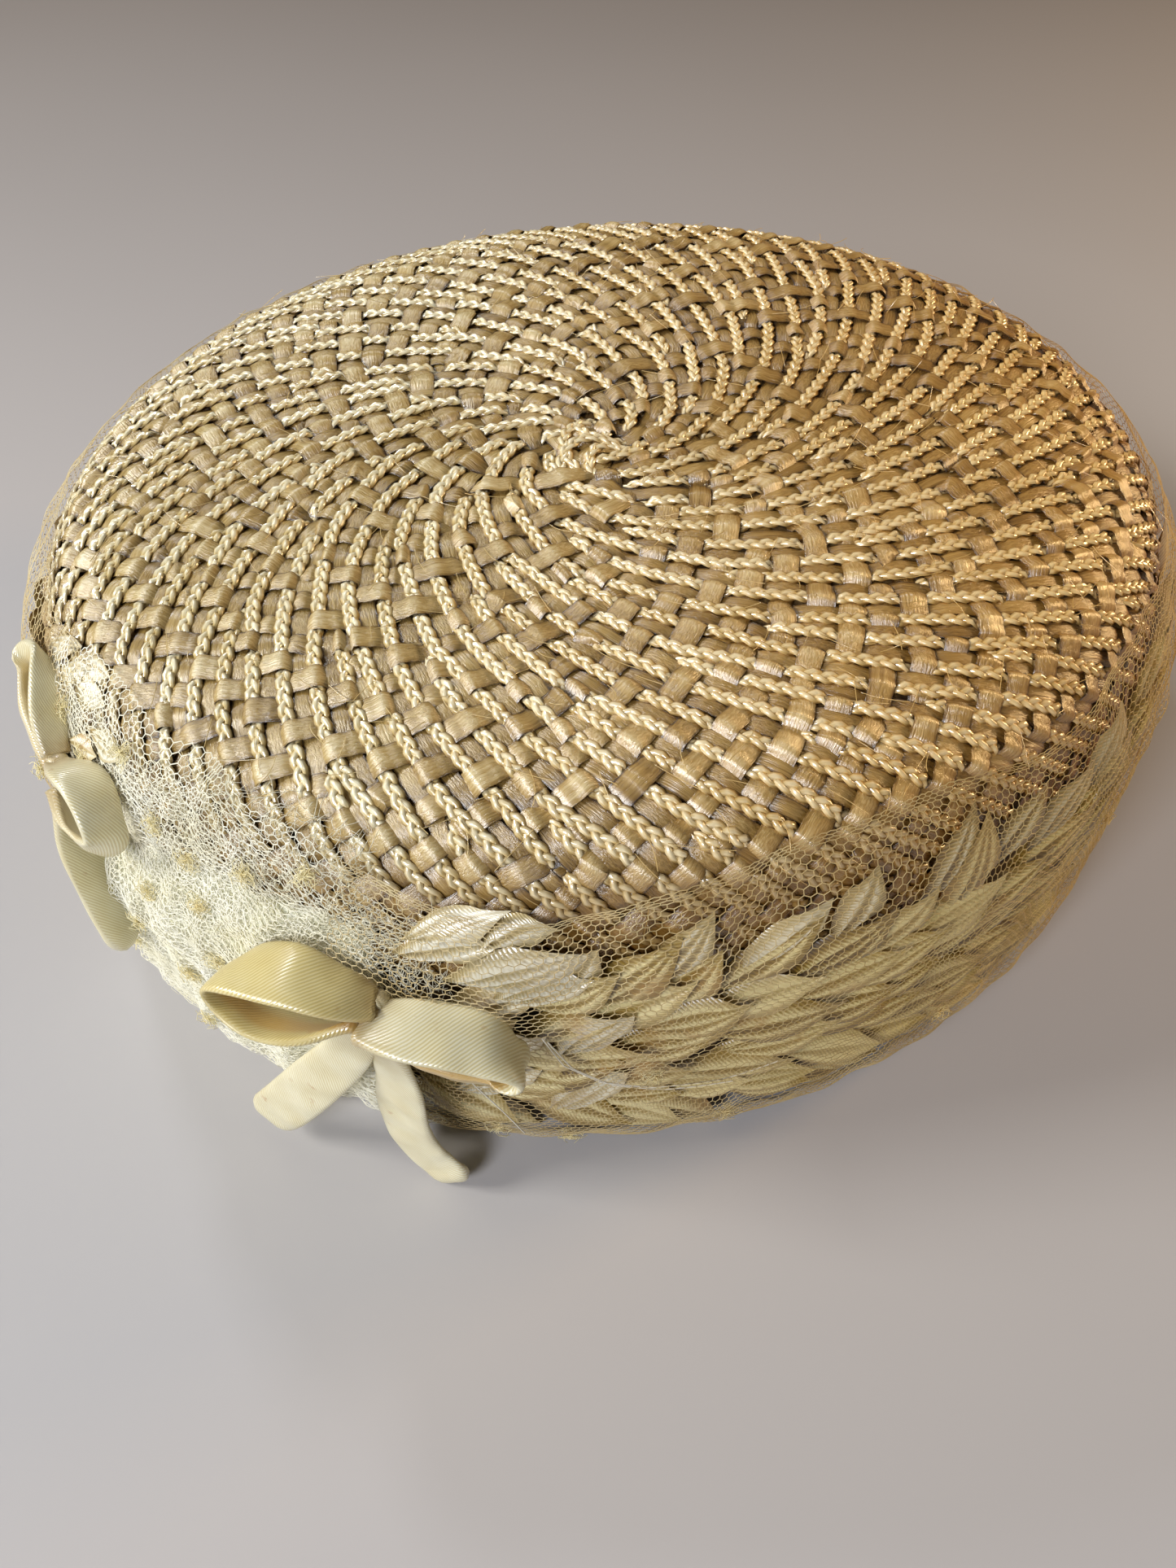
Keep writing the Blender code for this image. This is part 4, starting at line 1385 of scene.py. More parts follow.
@dataclass
class Wreath:
    """Seven rows of pressed leaves that run round the side, from the front bow to the side bow."""

    first_angle: float = math.radians(253.0)
    last_angle: float = math.radians(573.8)
    pitch: float = 8.8 * MM
    outline_fill: float = 0.634         # share of its length times width that a flat leaf covers
    rows: tuple[LeafRow, ...] = (
        LeafRow(10.5, -20, 1.0, 4.0, 16.5, 7.8, -16, False),
        LeafRow(15.5, 1, 1.0, 4.4, 18.5, 7.6, -20, False),
        LeafRow(21.5, 11, 1.0, 4.8, 19.0, 7.6, -22, False),
        LeafRow(27.5, 21, 1.0, 4.9, 19.5, 7.6, -24, False),
        LeafRow(34.0, 32, 1.0, 4.8, 19.5, 7.5, -24, False),
        LeafRow(40.5, 43, 1.0, 4.2, 18.5, 7.2, -20, False),
        LeafRow(46.5, 56, 1.0, 2.8, 15.5, 6.6, -14, True),
    )
    # Angle round the cap, in degrees, and the height that the leaves' tips keep under there
    tips: Rows = (
        (205.0, 76.0), (218.0, 78.0), (226.0, 72.0), (250.0, 62.0), (260.0, 62.5), (265.0, 62.5),
        (270.0, 58.5), (279.0, 63.0), (290.0, 65.0), (303.0, 66.0), (312.0, 62.5), (351.0, 61.5),
        (420.0, 60.0), (480.0, 57.0), (552.0, 57.0), (563.0, 65.0), (578.0, 70.0))
    # Bright satin leaves beside each bow: angle and height of the base and of the tip, then the width
    placed: Rows = (
        (256.0, 55.6, 264.0, 62.6, 5.6), (255.0, 53.0, 263.0, 57.0, 5.4), (259.0, 49.0, 269.8, 55.6, 6.2),
        (263.0, 45.6, 270.5, 51.0, 5.6), (262.0, 56.0, 268.0, 61.4, 5.0), (267.5, 29.5, 273.6, 43.5, 7.4),
        (266.5, 9.5, 273.5, 25.5, 7.4), (258.0, 38.0, 266.0, 47.0, 6.6), (259.0, 27.0, 266.5, 38.5, 7.0),
        (258.0, 14.0, 266.0, 27.0, 7.2), (213.5, 64.4, 219.0, 66.0, 3.8), (219.0, 62.2, 224.2, 62.4, 3.6),
        (210.0, 63.0, 214.4, 67.6, 3.8), (211.4, 66.6, 217.0, 69.0, 3.6), (205.0, 57.0, 210.4, 63.0, 4.4),
        (205.6, 63.0, 210.6, 67.6, 4.0), (216.0, 57.4, 221.0, 60.0, 3.8))

    @staticmethod
    def leaf_shape(name: str, ribs: tuple[float, ...], curl: float, full: float) -> Object:
        """One flat-space leaf a metre long and a metre wide at most, with its base at the origin.

        Args:
            name: the object's name.
            ribs: where the pressed pleats run, as shares of the half width.
            curl: how far the tip bends up, as a share of the length.
            full: share of the length at which the leaf is widest.

        Returns:
            The leaf, not linked to the scene.
        """
        long_share = np.linspace(0, 1, 9) ** 0.92
        folds = sorted([-1.0, *ribs, *[(a + b) / 2 for a, b in zip(ribs[:-1], ribs[1:])], 1.0])
        x, side = np.meshgrid(long_share, np.array(folds), indexing="ij")
        swell_to = np.where(x < full, 0.12 + 0.88 * np.sin(np.clip(x / full, 0, 1) * math.pi / 2) ** 1.2,
                            np.cos(np.clip((x - full) / (1 - full), 0, 1) * math.pi / 2) ** 1.05)
        y = side * 0.5 * np.maximum(swell_to, 0.02)
        rib = np.isin(side, ribs) * np.clip(x * 6, 0.2, 1) * np.clip((1 - x) * 4, 0, 1)
        edge = np.abs(side) == 1
        z = 0.045 * rib - 0.05 * edge * np.clip(swell_to, 0, 1) + curl * (x ** 2.2)
        z = z + 0.035 * np.sin(x * 5 + side * 2)
        # The flat map is in millimetres, for a leaf of 8.5 by 22 mm
        leaf = grid_object(name, np.stack([x, y, z], -1), False, bpy.data.materials.new(name + " bare"),
                           np.stack([y * 8.5, x * 22], -1))
        set_values(leaf.data, "rib", rib.ravel())
        bpy.context.scene.collection.objects.unlink(leaf)
        return leaf

    def shapes(self) -> Collection:
        """A collection of the leaf's variants.

        Returns:
            The collection.
        """
        kept = bpy.data.collections.new("leaf shapes")
        for k, (ribs, curl, full) in enumerate((((-0.42, 0.04, 0.5), 0.05, 0.46), ((-0.3, 0.3), 0.10, 0.52),
                                                ((-0.12, 0.4), 0.02, 0.42), ((-0.5, 0.0, 0.46), 0.13, 0.5))):
            kept.objects.link(self.leaf_shape(f"leaf {k}", ribs, curl, full))
        return kept

    def points(self, satin: bool) -> tuple[Mesh, Array]:
        """The leaves' bases in flat space, with their lie, size, shape and tint.

        Args:
            satin: take the satin rows, or else the organza rows.

        Returns:
            The mesh of points, and each leaf's own length and width in metres.
        """
        rng = np.random.default_rng(71 + satin)
        spots, lies, sizes, shapes, tints = [], [], [], [], []
        for row in [r for r in self.rows if r.satin == satin]:
            room = FORM.mean_radius * (self.last_angle - self.first_angle) - 0.62 * row.length * MM
            count = int(room / (self.pitch * (1.35 if satin else 1.0)))
            for k in range(count):
                across = self.first_angle * FORM.mean_radius
                across += (k + rng.uniform(-0.3, 0.3)) * room / (count - 1)
                # The upper rows start past the front bow
                if across < math.radians(262.0) * FORM.mean_radius and row.base > 36:
                    continue
                long_by, wide_by = rng.uniform(0.84, 1.12), rng.uniform(0.86, 1.14)
                rise = math.atan2((row.tip_off - row.base_off) * MM, row.length * MM)
                spots.append((across, (row.base + rng.normal(0, 1.5)) * MM,
                              (row.base_off + rng.uniform(-0.1, 0.4)) * MM))
                lies.append((math.radians(row.roll + rng.normal(0, 11)), -rise,
                             math.radians(row.slope + rng.normal(0, 12))))
                sizes.append((row.length * MM * long_by, row.width * MM * wide_by, 14 * MM))
                shapes.append(int(rng.integers(0, 4)))
                tints.append(float(np.clip(rng.normal(0.42, 0.25), 0.0, 1.0)))
        for k, (angle, base, tip_angle, tip, width) in enumerate(self.placed if satin else ()):
            over, up = math.radians(tip_angle - angle) * FORM.mean_radius, (tip - base) * MM
            spots.append((math.radians(angle) * FORM.mean_radius, base * MM, 2.4 * MM))
            lies.append((math.radians(-14 + 9 * (k % 3)), -0.06, math.atan2(up, over)))
            sizes.append((1.08 * math.hypot(over, up), 1.12 * width * MM, 22 * MM))
            shapes.append((0, 2, 3)[k % 3])
            tints.append((0.8, 0.55, 0.7)[k % 3])
        values = {"lie": lies, "grow": sizes, "shape": shapes, "tint": tints}
        mesh = edge_mesh("leaf points", np.array(spots), np.zeros((0, 2), int),
                         {key: np.array(value) for key, value in values.items()})
        return mesh, np.array(sizes)[:, :2]

    @staticmethod
    def wrap(piece: Object) -> None:
        """Moves a piece from flat space onto the straw's side.

        Args:
            piece: the leaves, in flat space.
        """
        count = len(piece.data.vertices)
        flat = np.empty(count * 3, np.float32)
        piece.data.vertices.foreach_get("co", flat)
        flat = flat.reshape(-1, 3).astype(float)
        angle, along = flat[:, 0] / FORM.mean_radius, flat[:, 1]
        # Past these lengths under the limit, tips and backs ease in instead of being cut
        tip_ease, ease = 5 * MM, 1.2 * MM
        top = at_angle(Wreath.tips, angle) - tip_ease
        along = np.where(along > top, top + tip_ease * np.tanh((along - top) / tip_ease), along)
        room = FORM.room(angle, along) - 0.75 * MM
        off = np.clip(flat[:, 2], 0.9 * MM, None)
        off = np.where(off > room - ease, room - ease + ease * np.tanh((off - room) / ease + 1), off)
        off = np.maximum(off, 0.7 * MM)
        placed = FORM.place(angle, along, off)
        placed[:, 2] = np.maximum(placed[:, 2], 0.6 * MM)
        piece.data.vertices.foreach_set("co", placed.astype(np.float32).ravel())
        piece.data.update()

    def build(self, satin: Material, organza: Material) -> list[Object]:
        """Builds both kinds of leaf.

        Args:
            satin: finish of the upper row.
            organza: finish of the other rows.

        Returns:
            The two pieces.
        """
        tree, shapes, made = scatter_tree(), self.shapes(), []
        for is_satin, name, finish in ((False, "leaves_organza", organza), (True, "leaves_satin", satin)):
            points, cut = self.points(is_satin)
            piece = grow(name, points, tree, {"Shapes": shapes, "Material": finish})
            self.wrap(piece)
            LOG.info("%s: %d leaves, %.1f to %.1f mm long", name, len(cut), cut[:, 0].min() / MM,
                     cut[:, 0].max() / MM)
            made.append(piece)
        for piece, slot, rows in zip(made, ("leaf_organza", "leaf_satin"), (("middle", "lower"), ("upper",))):
            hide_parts(*[f"leaf_spray_{row}_{k:02d}" for row in rows for k in range(1, 13)])
        return made


def honeycomb(width: float, height: float, cell: float) -> tuple[Array, Array]:
    """Points and edges of a flat net of hexagonal cells.

    Args:
        width: extent across.
        height: extent up.
        cell: distance between opposite sides of a cell.

    Returns:
        The points, two numbers a row, and the edges.
    """
    side = cell / math.sqrt(3)
    columns, rows = int(width / (cell / 2)) + 1, int(height / (1.5 * side)) + 1
    i, j = np.meshgrid(np.arange(columns), np.arange(rows), indexing="ij")
    odd = (i + j) % 2
    points = np.stack([i * cell / 2, j * 1.5 * side + (odd - 0.5) * side / 2], -1).reshape(-1, 2)
    index = (i * rows + j)
    level = np.stack([index[:-1], index[1:]], -1).reshape(-1, 2)
    risers = np.stack([index[:, :-1], index[:, 1:]], -1)[odd[:, :-1] == 1]
    return points, np.concatenate([level, risers])


@dataclass
class Veil:
    """The fine net over the leaves, from the shoulder down to the rim, in two lengths."""

    cells: tuple[float, float] = (1.38 * MM, 1.6 * MM)
    thread: float = 0.065 * MM        # thinner, and the back length's threads then have under 0.7 of the skin that net_share gives the cut
    # The cut is width times length. The open threads have far less skin, about this share of it, which isn't
    # the area of the cut. This share of it is declared, and it isn't the area of the cut
    net_share: float = 0.30
    first_angle: float = math.radians(250.0)
    last_angle: float = math.radians(574.5)
    # Height in the flat cloth and where it lies along the straw: the cells are squashed at the
    # hem and bunched along the upper edge
    hang: Rows = (
        (0.0, 1.6), (8.0, 4.4), (22.0, 14.5), (60.0, 52.0), (70.0, 61.5), (75.0, 65.3), (80.0, 67.0))
    # Angle round the cap, in degrees, and the height of the upper edge there
    edge: Rows = (
        (250.0, 64.5), (260.0, 61.5), (268.0, 60.5), (278.0, 63.5), (284.0, 65.5), (290.0, 67.0),
        (303.0, 67.0), (310.0, 64.5), (318.0, 63.5), (327.0, 65.0), (351.0, 63.0), (420.0, 64.5),
        (500.0, 65.5), (555.0, 67.0), (575.0, 69.0))

    def drape(self, across: Array, up: Array, seed: int) -> Array:
        """Places flat net points over the leaves.

        Args:
            across: distance round the cap at its mean radius.
            up: height in the flat cloth.
            seed: fixes the ripples.

        Returns:
            One point a row.
        """
        flat_up, lies = np.array(self.hang).T * MM
        along = np.interp(up, flat_up, lies)
        reached = at_angle(self.edge, across / FORM.mean_radius) / lies[-1]
        along = along * (1 - (1 - reached) * up / flat_up[-1])
        top = np.clip((up / flat_up[-1] - 0.55) / 0.45, 0, 1)
        along = along + top * 0.6 * MM * swell(across, across * 0, 42 * MM, seed + 1)
        along = along + 0.7 * MM * swell(across, up, 17 * MM, seed + 2) * (0.3 + 0.7 * (1 - top))
        across = across + 1.3 * MM * swell(across, up, 24 * MM, seed + 3)
        along = np.maximum(along, self.hang[0][1] * MM)
        off = FORM.room(across / FORM.mean_radius, along) + 0.32 * MM * swell(across, along, 9 * MM, seed + 4)
        return FORM.place(across / FORM.mean_radius, along, off)

    def build(self, thread: Material) -> list[Object]:
        """Builds the two lengths of net.

        Args:
            thread: finish of the net.

        Returns:
            The pieces.
        """
        made = []
        middle = (self.first_angle + self.last_angle) / 2
        for name, start, end, cell in (("veil_front", self.first_angle, middle, self.cells[0]),
                                       ("veil_back", middle, self.last_angle, self.cells[1])):
            width, height = (end - start) * FORM.mean_radius, self.hang[-1][0] * MM
            flat, edges = honeycomb(width, height, cell)
            points = self.drape(flat[:, 0] + start * FORM.mean_radius, flat[:, 1], 90)
            piece = grow_net(name, points, edges, self.thread, thread)
            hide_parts("veil")
            made.append(piece)
        return made


@dataclass
class GatheredTulle:
    """The bunched tulle between the two bows: a soft pad, loose layers of net, fuzz and dots."""

    first_angle: float = math.radians(213.0)
    last_angle: float = math.radians(252.2)
    rows: Rows = ((2.6, 3.4), (5.0, 4.6), (11.0, 5.1), (42.0, 4.9), (52.0, 4.0), (60.0, 2.6))
    # Angle round the cap, in degrees, with the height that the massed tulle and the loose net reach there
    edge: Rows = (
        (208.0, 42.0, 71.5), (219.0, 45.0, 71.0), (226.0, 48.0, 70.5), (232.0, 52.0, 70.0),
        (237.0, 54.0, 69.5), (242.0, 55.0, 67.0), (247.0, 54.5, 63.5), (251.0, 52.0, 61.0),
        (257.0, 50.0, 58.5))
    gap: float = 0.3 * MM             # between the pad and the straw
    folds: int = 4
    fold_depth: float = 0.35 * MM
    pad_hem: float = 2.6 * MM         # height of the pad's lower edge, then of the net's
    net_hem: float = 1.6 * MM
    cell: float = 1.4 * MM
    fullness: float = 1.12            # by how much the cells are squashed in height
    overlap: float = 4.5 * MM         # how far the net goes on past each end of the pad
    heights: tuple[float, ...] = (73.0, 69.0, 63.0, 58.0)   # of the layers of net, innermost first
    thread: float = 0.075 * MM
    net_share: float = 0.34           # as for the veil: declared for the threads' skin, not the cut's area
    # Angle and height of each chenille dot: those on the tulle, then those on the veil
    dots: Rows = (
        (214.0, 61.0), (219.0, 58.0), (225.0, 64.0), (230.5, 57.5), (234.5, 55.0), (222.0, 47.0),
        (229.0, 44.0), (236.0, 49.0), (226.5, 34.0), (217.5, 38.0), (233.0, 30.0), (241.0, 58.0),
        (238.0, 40.0), (222.5, 22.0), (232.0, 14.0), (243.0, 26.0), (247.0, 61.0), (213.0, 50.0),
        (262.0, 8.0), (268.5, 5.0), (276.0, 27.0), (283.0, 9.0), (305.0, 14.0), (330.0, 26.0), (20.0, 20.0),
        (65.0, 33.0), (110.0, 18.0), (150.0, 30.0), (185.0, 14.0))

    def surface(self, angle: Array, along: Array) -> Array:
        """How far the outside of the pad stands off the straw.

        Args:
            angle: angle round the cap.
            along: length along the straw from the rim.

        Returns:
            One distance a point.
        """
        share = np.clip((angle - self.first_angle) / (self.last_angle - self.first_angle), 0, 1)
        at, thick = np.array(self.rows).T * MM
        top = at_angle(self.edge, angle)
        body = np.interp(along, at, thick) * np.clip((top - along) / (11 * MM) + 0.04, 0, 1) ** 0.8
        fold = self.fold_depth * np.cos(FULL_TURN * self.folds * share) * np.minimum(1, body / (3 * MM))
        across = angle * FORM.mean_radius
        crumple = 0.42 * MM * swell(across, along, 5.5 * MM, 51) * np.minimum(1, body / (2 * MM))
        return self.gap + np.maximum(body + fold + crumple - 0.1 * MM, 0.25 * MM)

    def build_pad(self, cloud: Material) -> Object:
        """Builds the pad.

        Args:
            cloud: its finish.

        Returns:
            The closed pad.
        """
        angles = np.linspace(self.first_angle, self.last_angle, 74)
        ragged = swell(angles * FORM.mean_radius, angles * 0, 8 * MM, 55)
        top = at_angle(self.edge, angles) + 1.4 * MM * ragged
        angle, share = np.meshgrid(angles, np.linspace(0, 1, 84), indexing="ij")
        along = self.pad_hem + share * (top[:, None] - self.pad_hem)
        outer = FORM.place(angle, along, self.surface(angle, along))
        inner = FORM.place(angle, along, self.gap)
        grid = np.concatenate([outer, inner[:, ::-1]], 1)
        pad = grid_object("tulle_pad", grid, True, cloud)
        rows, width = grid.shape[:2]
        seal(pad.data, [[first + k, first + k + 1, first + width - 2 - k, first + width - 1 - k]
                        for first in (0, (rows - 1) * width) for k in range(width // 2 - 1)])
        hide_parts("gathered_tulle")
        return pad

    def build_net(self, thread: Material) -> Object:
        """Builds the loose layers of net over the pad, which thin out over the shoulder.

        Args:
            thread: their finish.

        Returns:
            The layers, as one piece.
        """
        points, edges, count, area = [], [], 0, 0.0
        rng = np.random.default_rng(17)
        width = (self.last_angle - self.first_angle) * FORM.mean_radius + 2 * self.overlap
        hem = self.net_hem
        for layer, cut in enumerate(self.heights):
            height = cut * MM
            flat, links = honeycomb(width, height * self.fullness, self.cell)
            across = flat[:, 0] + self.first_angle * FORM.mean_radius - self.overlap
            along = flat[:, 1] / self.fullness + hem
            slant = rng.uniform(-0.16, 0.16)
            across = across + slant * (along - 40 * MM) + 1.6 * MM * swell(across, along, 15 * MM, 61 + layer)
            top = at_angle(self.edge, across / FORM.mean_radius, 2) - layer * 3.4 * MM
            top = top + 1.1 * MM * swell(across, across * 0, 26 * MM, 81 + layer)
            along = hem + (along - hem) * (top - hem) / height
            along = along + 1.1 * MM * swell(across, along, 14 * MM, 71 + layer)
            along = np.maximum(along, 1.8 * MM)
            off = self.surface(across / FORM.mean_radius, along) + (0.15 + 0.32 * layer) * MM
            off = off + 0.3 * MM * swell(across, along, 6 * MM, 91 + layer)
            straw_top = np.clip((along - 60 * MM) / (8 * MM), 0, 1) * 0.9 * MM
            points.append(FORM.place(across / FORM.mean_radius, along, np.maximum(off + straw_top, 0.6 * MM)))
            edges.append(links + count)
            count += len(flat)
            area += width * height
        piece = grow_net("tulle_net", np.concatenate(points), np.concatenate(edges), self.thread, thread)
        return piece

    def build_fuzz(self, thread: Material, count: int = 2900) -> Object:
        """Builds the haze of loose fibres over the pad.

        Args:
            thread: their finish.
            count: how many.

        Returns:
            The fibres.
        """
        rng = np.random.default_rng(23)
        lines = Guides()
        for _ in range(count):
            angle = rng.uniform(self.first_angle, self.last_angle)
            top = at_angle(self.edge, angle) / MM
            along = (3 + (top + 11) * rng.uniform() ** 0.5) * MM
            # Some lie past the pad, on the leaves by the front bow
            if rng.uniform() < 0.14:
                angle = rng.uniform(math.radians(250.5), math.radians(259.5))
                along = rng.uniform(34, 59) * MM
            way, bend = rng.uniform(0, FULL_TURN), rng.normal(0, 1.3)
            share = np.linspace(0, 1, 4)
            turn = way + bend * share
            length = rng.uniform(1.2, 4.5) * MM
            across = np.concatenate([[0], np.cumsum(np.cos(turn[:-1]))]) * length / 3
            up = np.concatenate([[0], np.cumsum(np.sin(turn[:-1]))]) * length / 3
            place = np.maximum(along + up, 2 * MM)
            turned = angle + across / FORM.mean_radius
            arch = 0.1 + rng.uniform(0.2, 1.5) * np.sin(share * math.pi) ** 0.7
            lines.add(FORM.place(turned, place, self.surface(turned, place) + arch * MM))
        piece = grow_threads("tulle_fuzz", lines, 0.045, thread)
        return piece

    def build_dots(self, chenille: Material) -> Object:
        """Builds the chenille dots that are scattered over the tulle and the veil.

        Args:
            chenille: their finish.

        Returns:
            The dots, as one piece.
        """
        rng = np.random.default_rng(29)
        lines = Guides()
        for angle_deg, along_mm in self.dots:
            angle, along = math.radians(angle_deg), along_mm * MM
            on_pad = self.first_angle < angle < self.last_angle
            base = float(self.surface(np.array(angle), np.array(along))) + 1.5 * MM if on_pad else 5.8 * MM
            if along_mm > 56:
                base = max(base, 1.8 * MM)
            for _ in range(52):
                way = rng.normal(0, 1, 3)
                way /= np.linalg.norm(way)
                across_way = np.cross(way, rng.normal(0, 1, 3))
                across_way /= np.linalg.norm(across_way)
                share = np.linspace(0, 1, 4)[:, None]
                reach = rng.uniform(1.1, 2.7) * MM
                local = reach * (share * way + 0.5 * np.sin(share * math.pi) * across_way)
                off = np.maximum(base + local[:, 2] * 0.55, 0.4 * MM)
                height = np.maximum(along + local[:, 1], 2 * MM)
                lines.add(FORM.place(angle + local[:, 0] / FORM.mean_radius, height, off))
        piece = grow_threads("chenille_dots", lines, 0.055, chenille)
        return piece


class Knot(NamedTuple):
    """The tight wrap of a bow, in millimetres and degrees."""

    across: float
    up: float
    off: float
    size: tuple[float, float, float]
    lean: float


@dataclass
class SatinBow:
    """A tied bow of satin tube: a knot with loops and tails, each a band along its stations.

    A station gives in millimetres how far across, up and off the band is there and its width, and then the
    way that the width points, across, up and off.
    """

    name: str
    angle: float
    knot: Knot
    loops: dict[str, Rows]
    tails: dict[str, Rows]
    thickness: float = 1.5 * MM
    around: int = 20
    end_length: float = 4.2 * MM      # over which a tail's end is rounded
    least_flat: float = 10.1 * MM     # least side of a sheet; every band here is narrower
    warmth: float = 1.0               # how golden the painted shade on the inner face of its loops is
    yellowed: tuple[str, ...] = ()    # the bands that are multiplied by the darker, yellower tint

    def smooth(self, stations: Rows, steps: int = 8) -> Array:
        """Passes a curve through every column of a band's table.

        Args:
            stations: the table.
            steps: points between one station and the next.

        Returns:
            One row a point, in the table's columns.
        """
        table = np.array(stations, float)
        padded = np.vstack([2 * table[0] - table[1], table, 2 * table[-1] - table[-2]])
        rows = []
        for i in range(1, len(padded) - 2):
            a, b, c, d = padded[i - 1:i + 3]
            for step in range(steps):
                t = step / steps
                rows.append(0.5 * (2 * b + (c - a) * t + (2 * a - 5 * b + 4 * c - d) * t ** 2
                                   + (3 * b - a - 3 * c + d) * t ** 3))
        rows.append(table[-1])
        return np.array(rows)

    def band(self, name: str, stations: Rows, free_end: bool, satin: Material) -> Object:
        """Sweeps a flattened tube through a table of stations.

        Args:
            name: the piece's name.
            stations: the table.
            free_end: whether its last end is a rounded tail, or else runs into the knot.
            satin: its finish.

        Returns:
            The closed band.
        """
        rows = self.smooth(stations)
        place, tilt = rows[:, :3] * MM, rows[:, 4:] * MM
        centres = FORM.off_veil(self.angle, *place.T)
        sides = FORM.off_veil(self.angle, *(place + tilt).T) - centres
        forward = np.gradient(centres, axis=0)
        forward /= np.linalg.norm(forward, axis=1, keepdims=True)
        sides -= forward * (sides * forward).sum(1, keepdims=True)
        sides /= np.linalg.norm(sides, axis=1, keepdims=True)
        widths = rows[:, 3] * MM
        thick = np.full(len(rows), self.thickness)
        run = path_length(centres)
        root = np.exp(-run / (2.2 * MM))
        if not free_end:
            root = np.maximum(root, np.exp(-(run[-1] - run) / (2.2 * MM)))
        else:
            # Each row goes on round the end: its reach, its share of the width, and how it swells
            last = len(rows) - 1
            for reach, share, swell_by in ((0.22, 0.97, 1.35), (0.45, 0.89, 1.8), (0.67, 0.76, 2.1),
                                           (0.86, 0.56, 2.0), (1.0, 0.28, 1.2)):
                further = reach * self.end_length
                centres = np.vstack([centres, centres[last] + forward[last] * further])
                forward, sides = np.vstack([forward, forward[-1]]), np.vstack([sides, sides[-1]])
                widths = np.append(widths, widths[last] * share)
                thick = np.append(thick, self.thickness * share * swell_by)
                run, root = np.append(run, run[last] + further), np.append(root, 0.0)
        depth = np.cross(forward, sides)
        turn = np.linspace(0, FULL_TURN, self.around, endpoint=False)
        wide = np.sign(np.cos(turn)) * np.abs(np.cos(turn)) ** 0.75
        deep = np.sign(np.sin(turn)) * np.abs(np.sin(turn)) ** 0.62
        pleat = 0.32 * MM * np.sin(wide * 9.5)[None, :] * (root ** 0.8)[:, None] * np.sign(deep)[None, :]
        soft = 0.15 * MM * swell(np.broadcast_to(run[:, None], (len(run), self.around)),
                                 wide[None, :] * 4 * MM, 7 * MM, len(name)) * np.sign(deep)[None, :]
        swollen = thick * (1 + 0.55 * root)
        bulge = deep[None, :] * swollen[:, None] / 2 + pleat + soft * np.abs(deep)
        grid = (centres[:, None] + sides[:, None] * (wide[None, :] * widths[:, None] / 2)[..., None]
                + depth[:, None] * bulge[..., None])
        grid[..., 2] = np.maximum(grid[..., 2], 0.4 * MM)
        girth = np.concatenate([[0], np.cumsum(np.hypot(np.diff(wide) * 4.2, np.diff(deep) * 0.8))])
        spots = np.stack(np.broadcast_arrays(girth[None, :], run[:, None] / MM), -1)
        piece = grid_object(f"satin_{name}", grid, True, satin, spots)
        set_values(piece.data, "root", np.repeat(np.clip(root * 1.5, 0, 1), self.around))
        yellower = float(name.removeprefix(self.name + "_") in self.yellowed)
        set_values(piece.data, "yellowed", np.full(len(run) * self.around, yellower))
        # Painted shade: faces that look into a loop take the golden inside colour
        towards = ((centres.mean(0) - grid) * (grid - centres[:, None])).sum(-1)
        set_values(piece.data, "inner", np.where(towards > 0, 0.0 if free_end else self.warmth, 0.0).ravel())
        close_ends(piece.data, len(run), self.around)
        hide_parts(name)
        return piece

    def build_knot(self, satin: Material) -> Object:
        """Builds the wrap in the middle: a rounded block with creases round it.

        Args:
            satin: its finish.

        Returns:
            The knot.
        """
        name = f"{self.name}_knot"
        place = np.array([self.knot.across, self.knot.up, self.knot.off]) * MM
        centre = Vector(FORM.off_veil(self.angle, *place))
        beside = Vector(FORM.off_veil(self.angle, place[0] + MM, place[1], place[2])) - centre
        beside.normalize()
        up = Vector((0, 0, 1))
        turn = (Matrix((beside, up, beside.cross(up))).transposed()
                @ Matrix.Rotation(math.radians(self.knot.lean), 3, "X"))
        rows, columns = 26, 32
        polar, around = np.meshgrid(np.linspace(0.03, math.pi - 0.03, rows),
                                    np.linspace(0, FULL_TURN, columns, False), indexing="ij")
        crease = 1 + 0.07 * np.sin(around * 7 + polar * 2) + 0.04 * np.sin(around * 13 - polar * 3)

        def power(value: Array) -> Array:
            """Squares the ball's section."""
            return np.sign(value) * np.abs(value) ** 0.62

        ball = np.stack([power(np.sin(polar)) * power(np.cos(around)) * crease, power(np.cos(polar)),
                         power(np.sin(polar)) * power(np.sin(around)) * crease], -1) / 2
        local = ball * np.array(self.knot.size) * MM
        grid = np.array(centre) + local @ np.array(turn).T
        spots = np.stack([around * 2, polar * 4], -1)
        piece = grid_object(f"satin_{name}", grid, True, satin, spots)
        set_values(piece.data, "root", np.clip(np.abs(np.cos(polar)) ** 3, 0, 1).ravel())
        close_ends(piece.data, rows, columns)
        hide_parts(name)
        return piece

    def build(self, satin: Material) -> list[Object]:
        """Builds the knot, the loops and the tails.

        Args:
            satin: their finish.

        Returns:
            The pieces.
        """
        made = [self.build_knot(satin)]
        made += [self.band(f"{self.name}_{key}", rows, False, satin) for key, rows in self.loops.items()]
        made += [self.band(f"{self.name}_{key}", rows, True, satin) for key, rows in self.tails.items()]
        return made


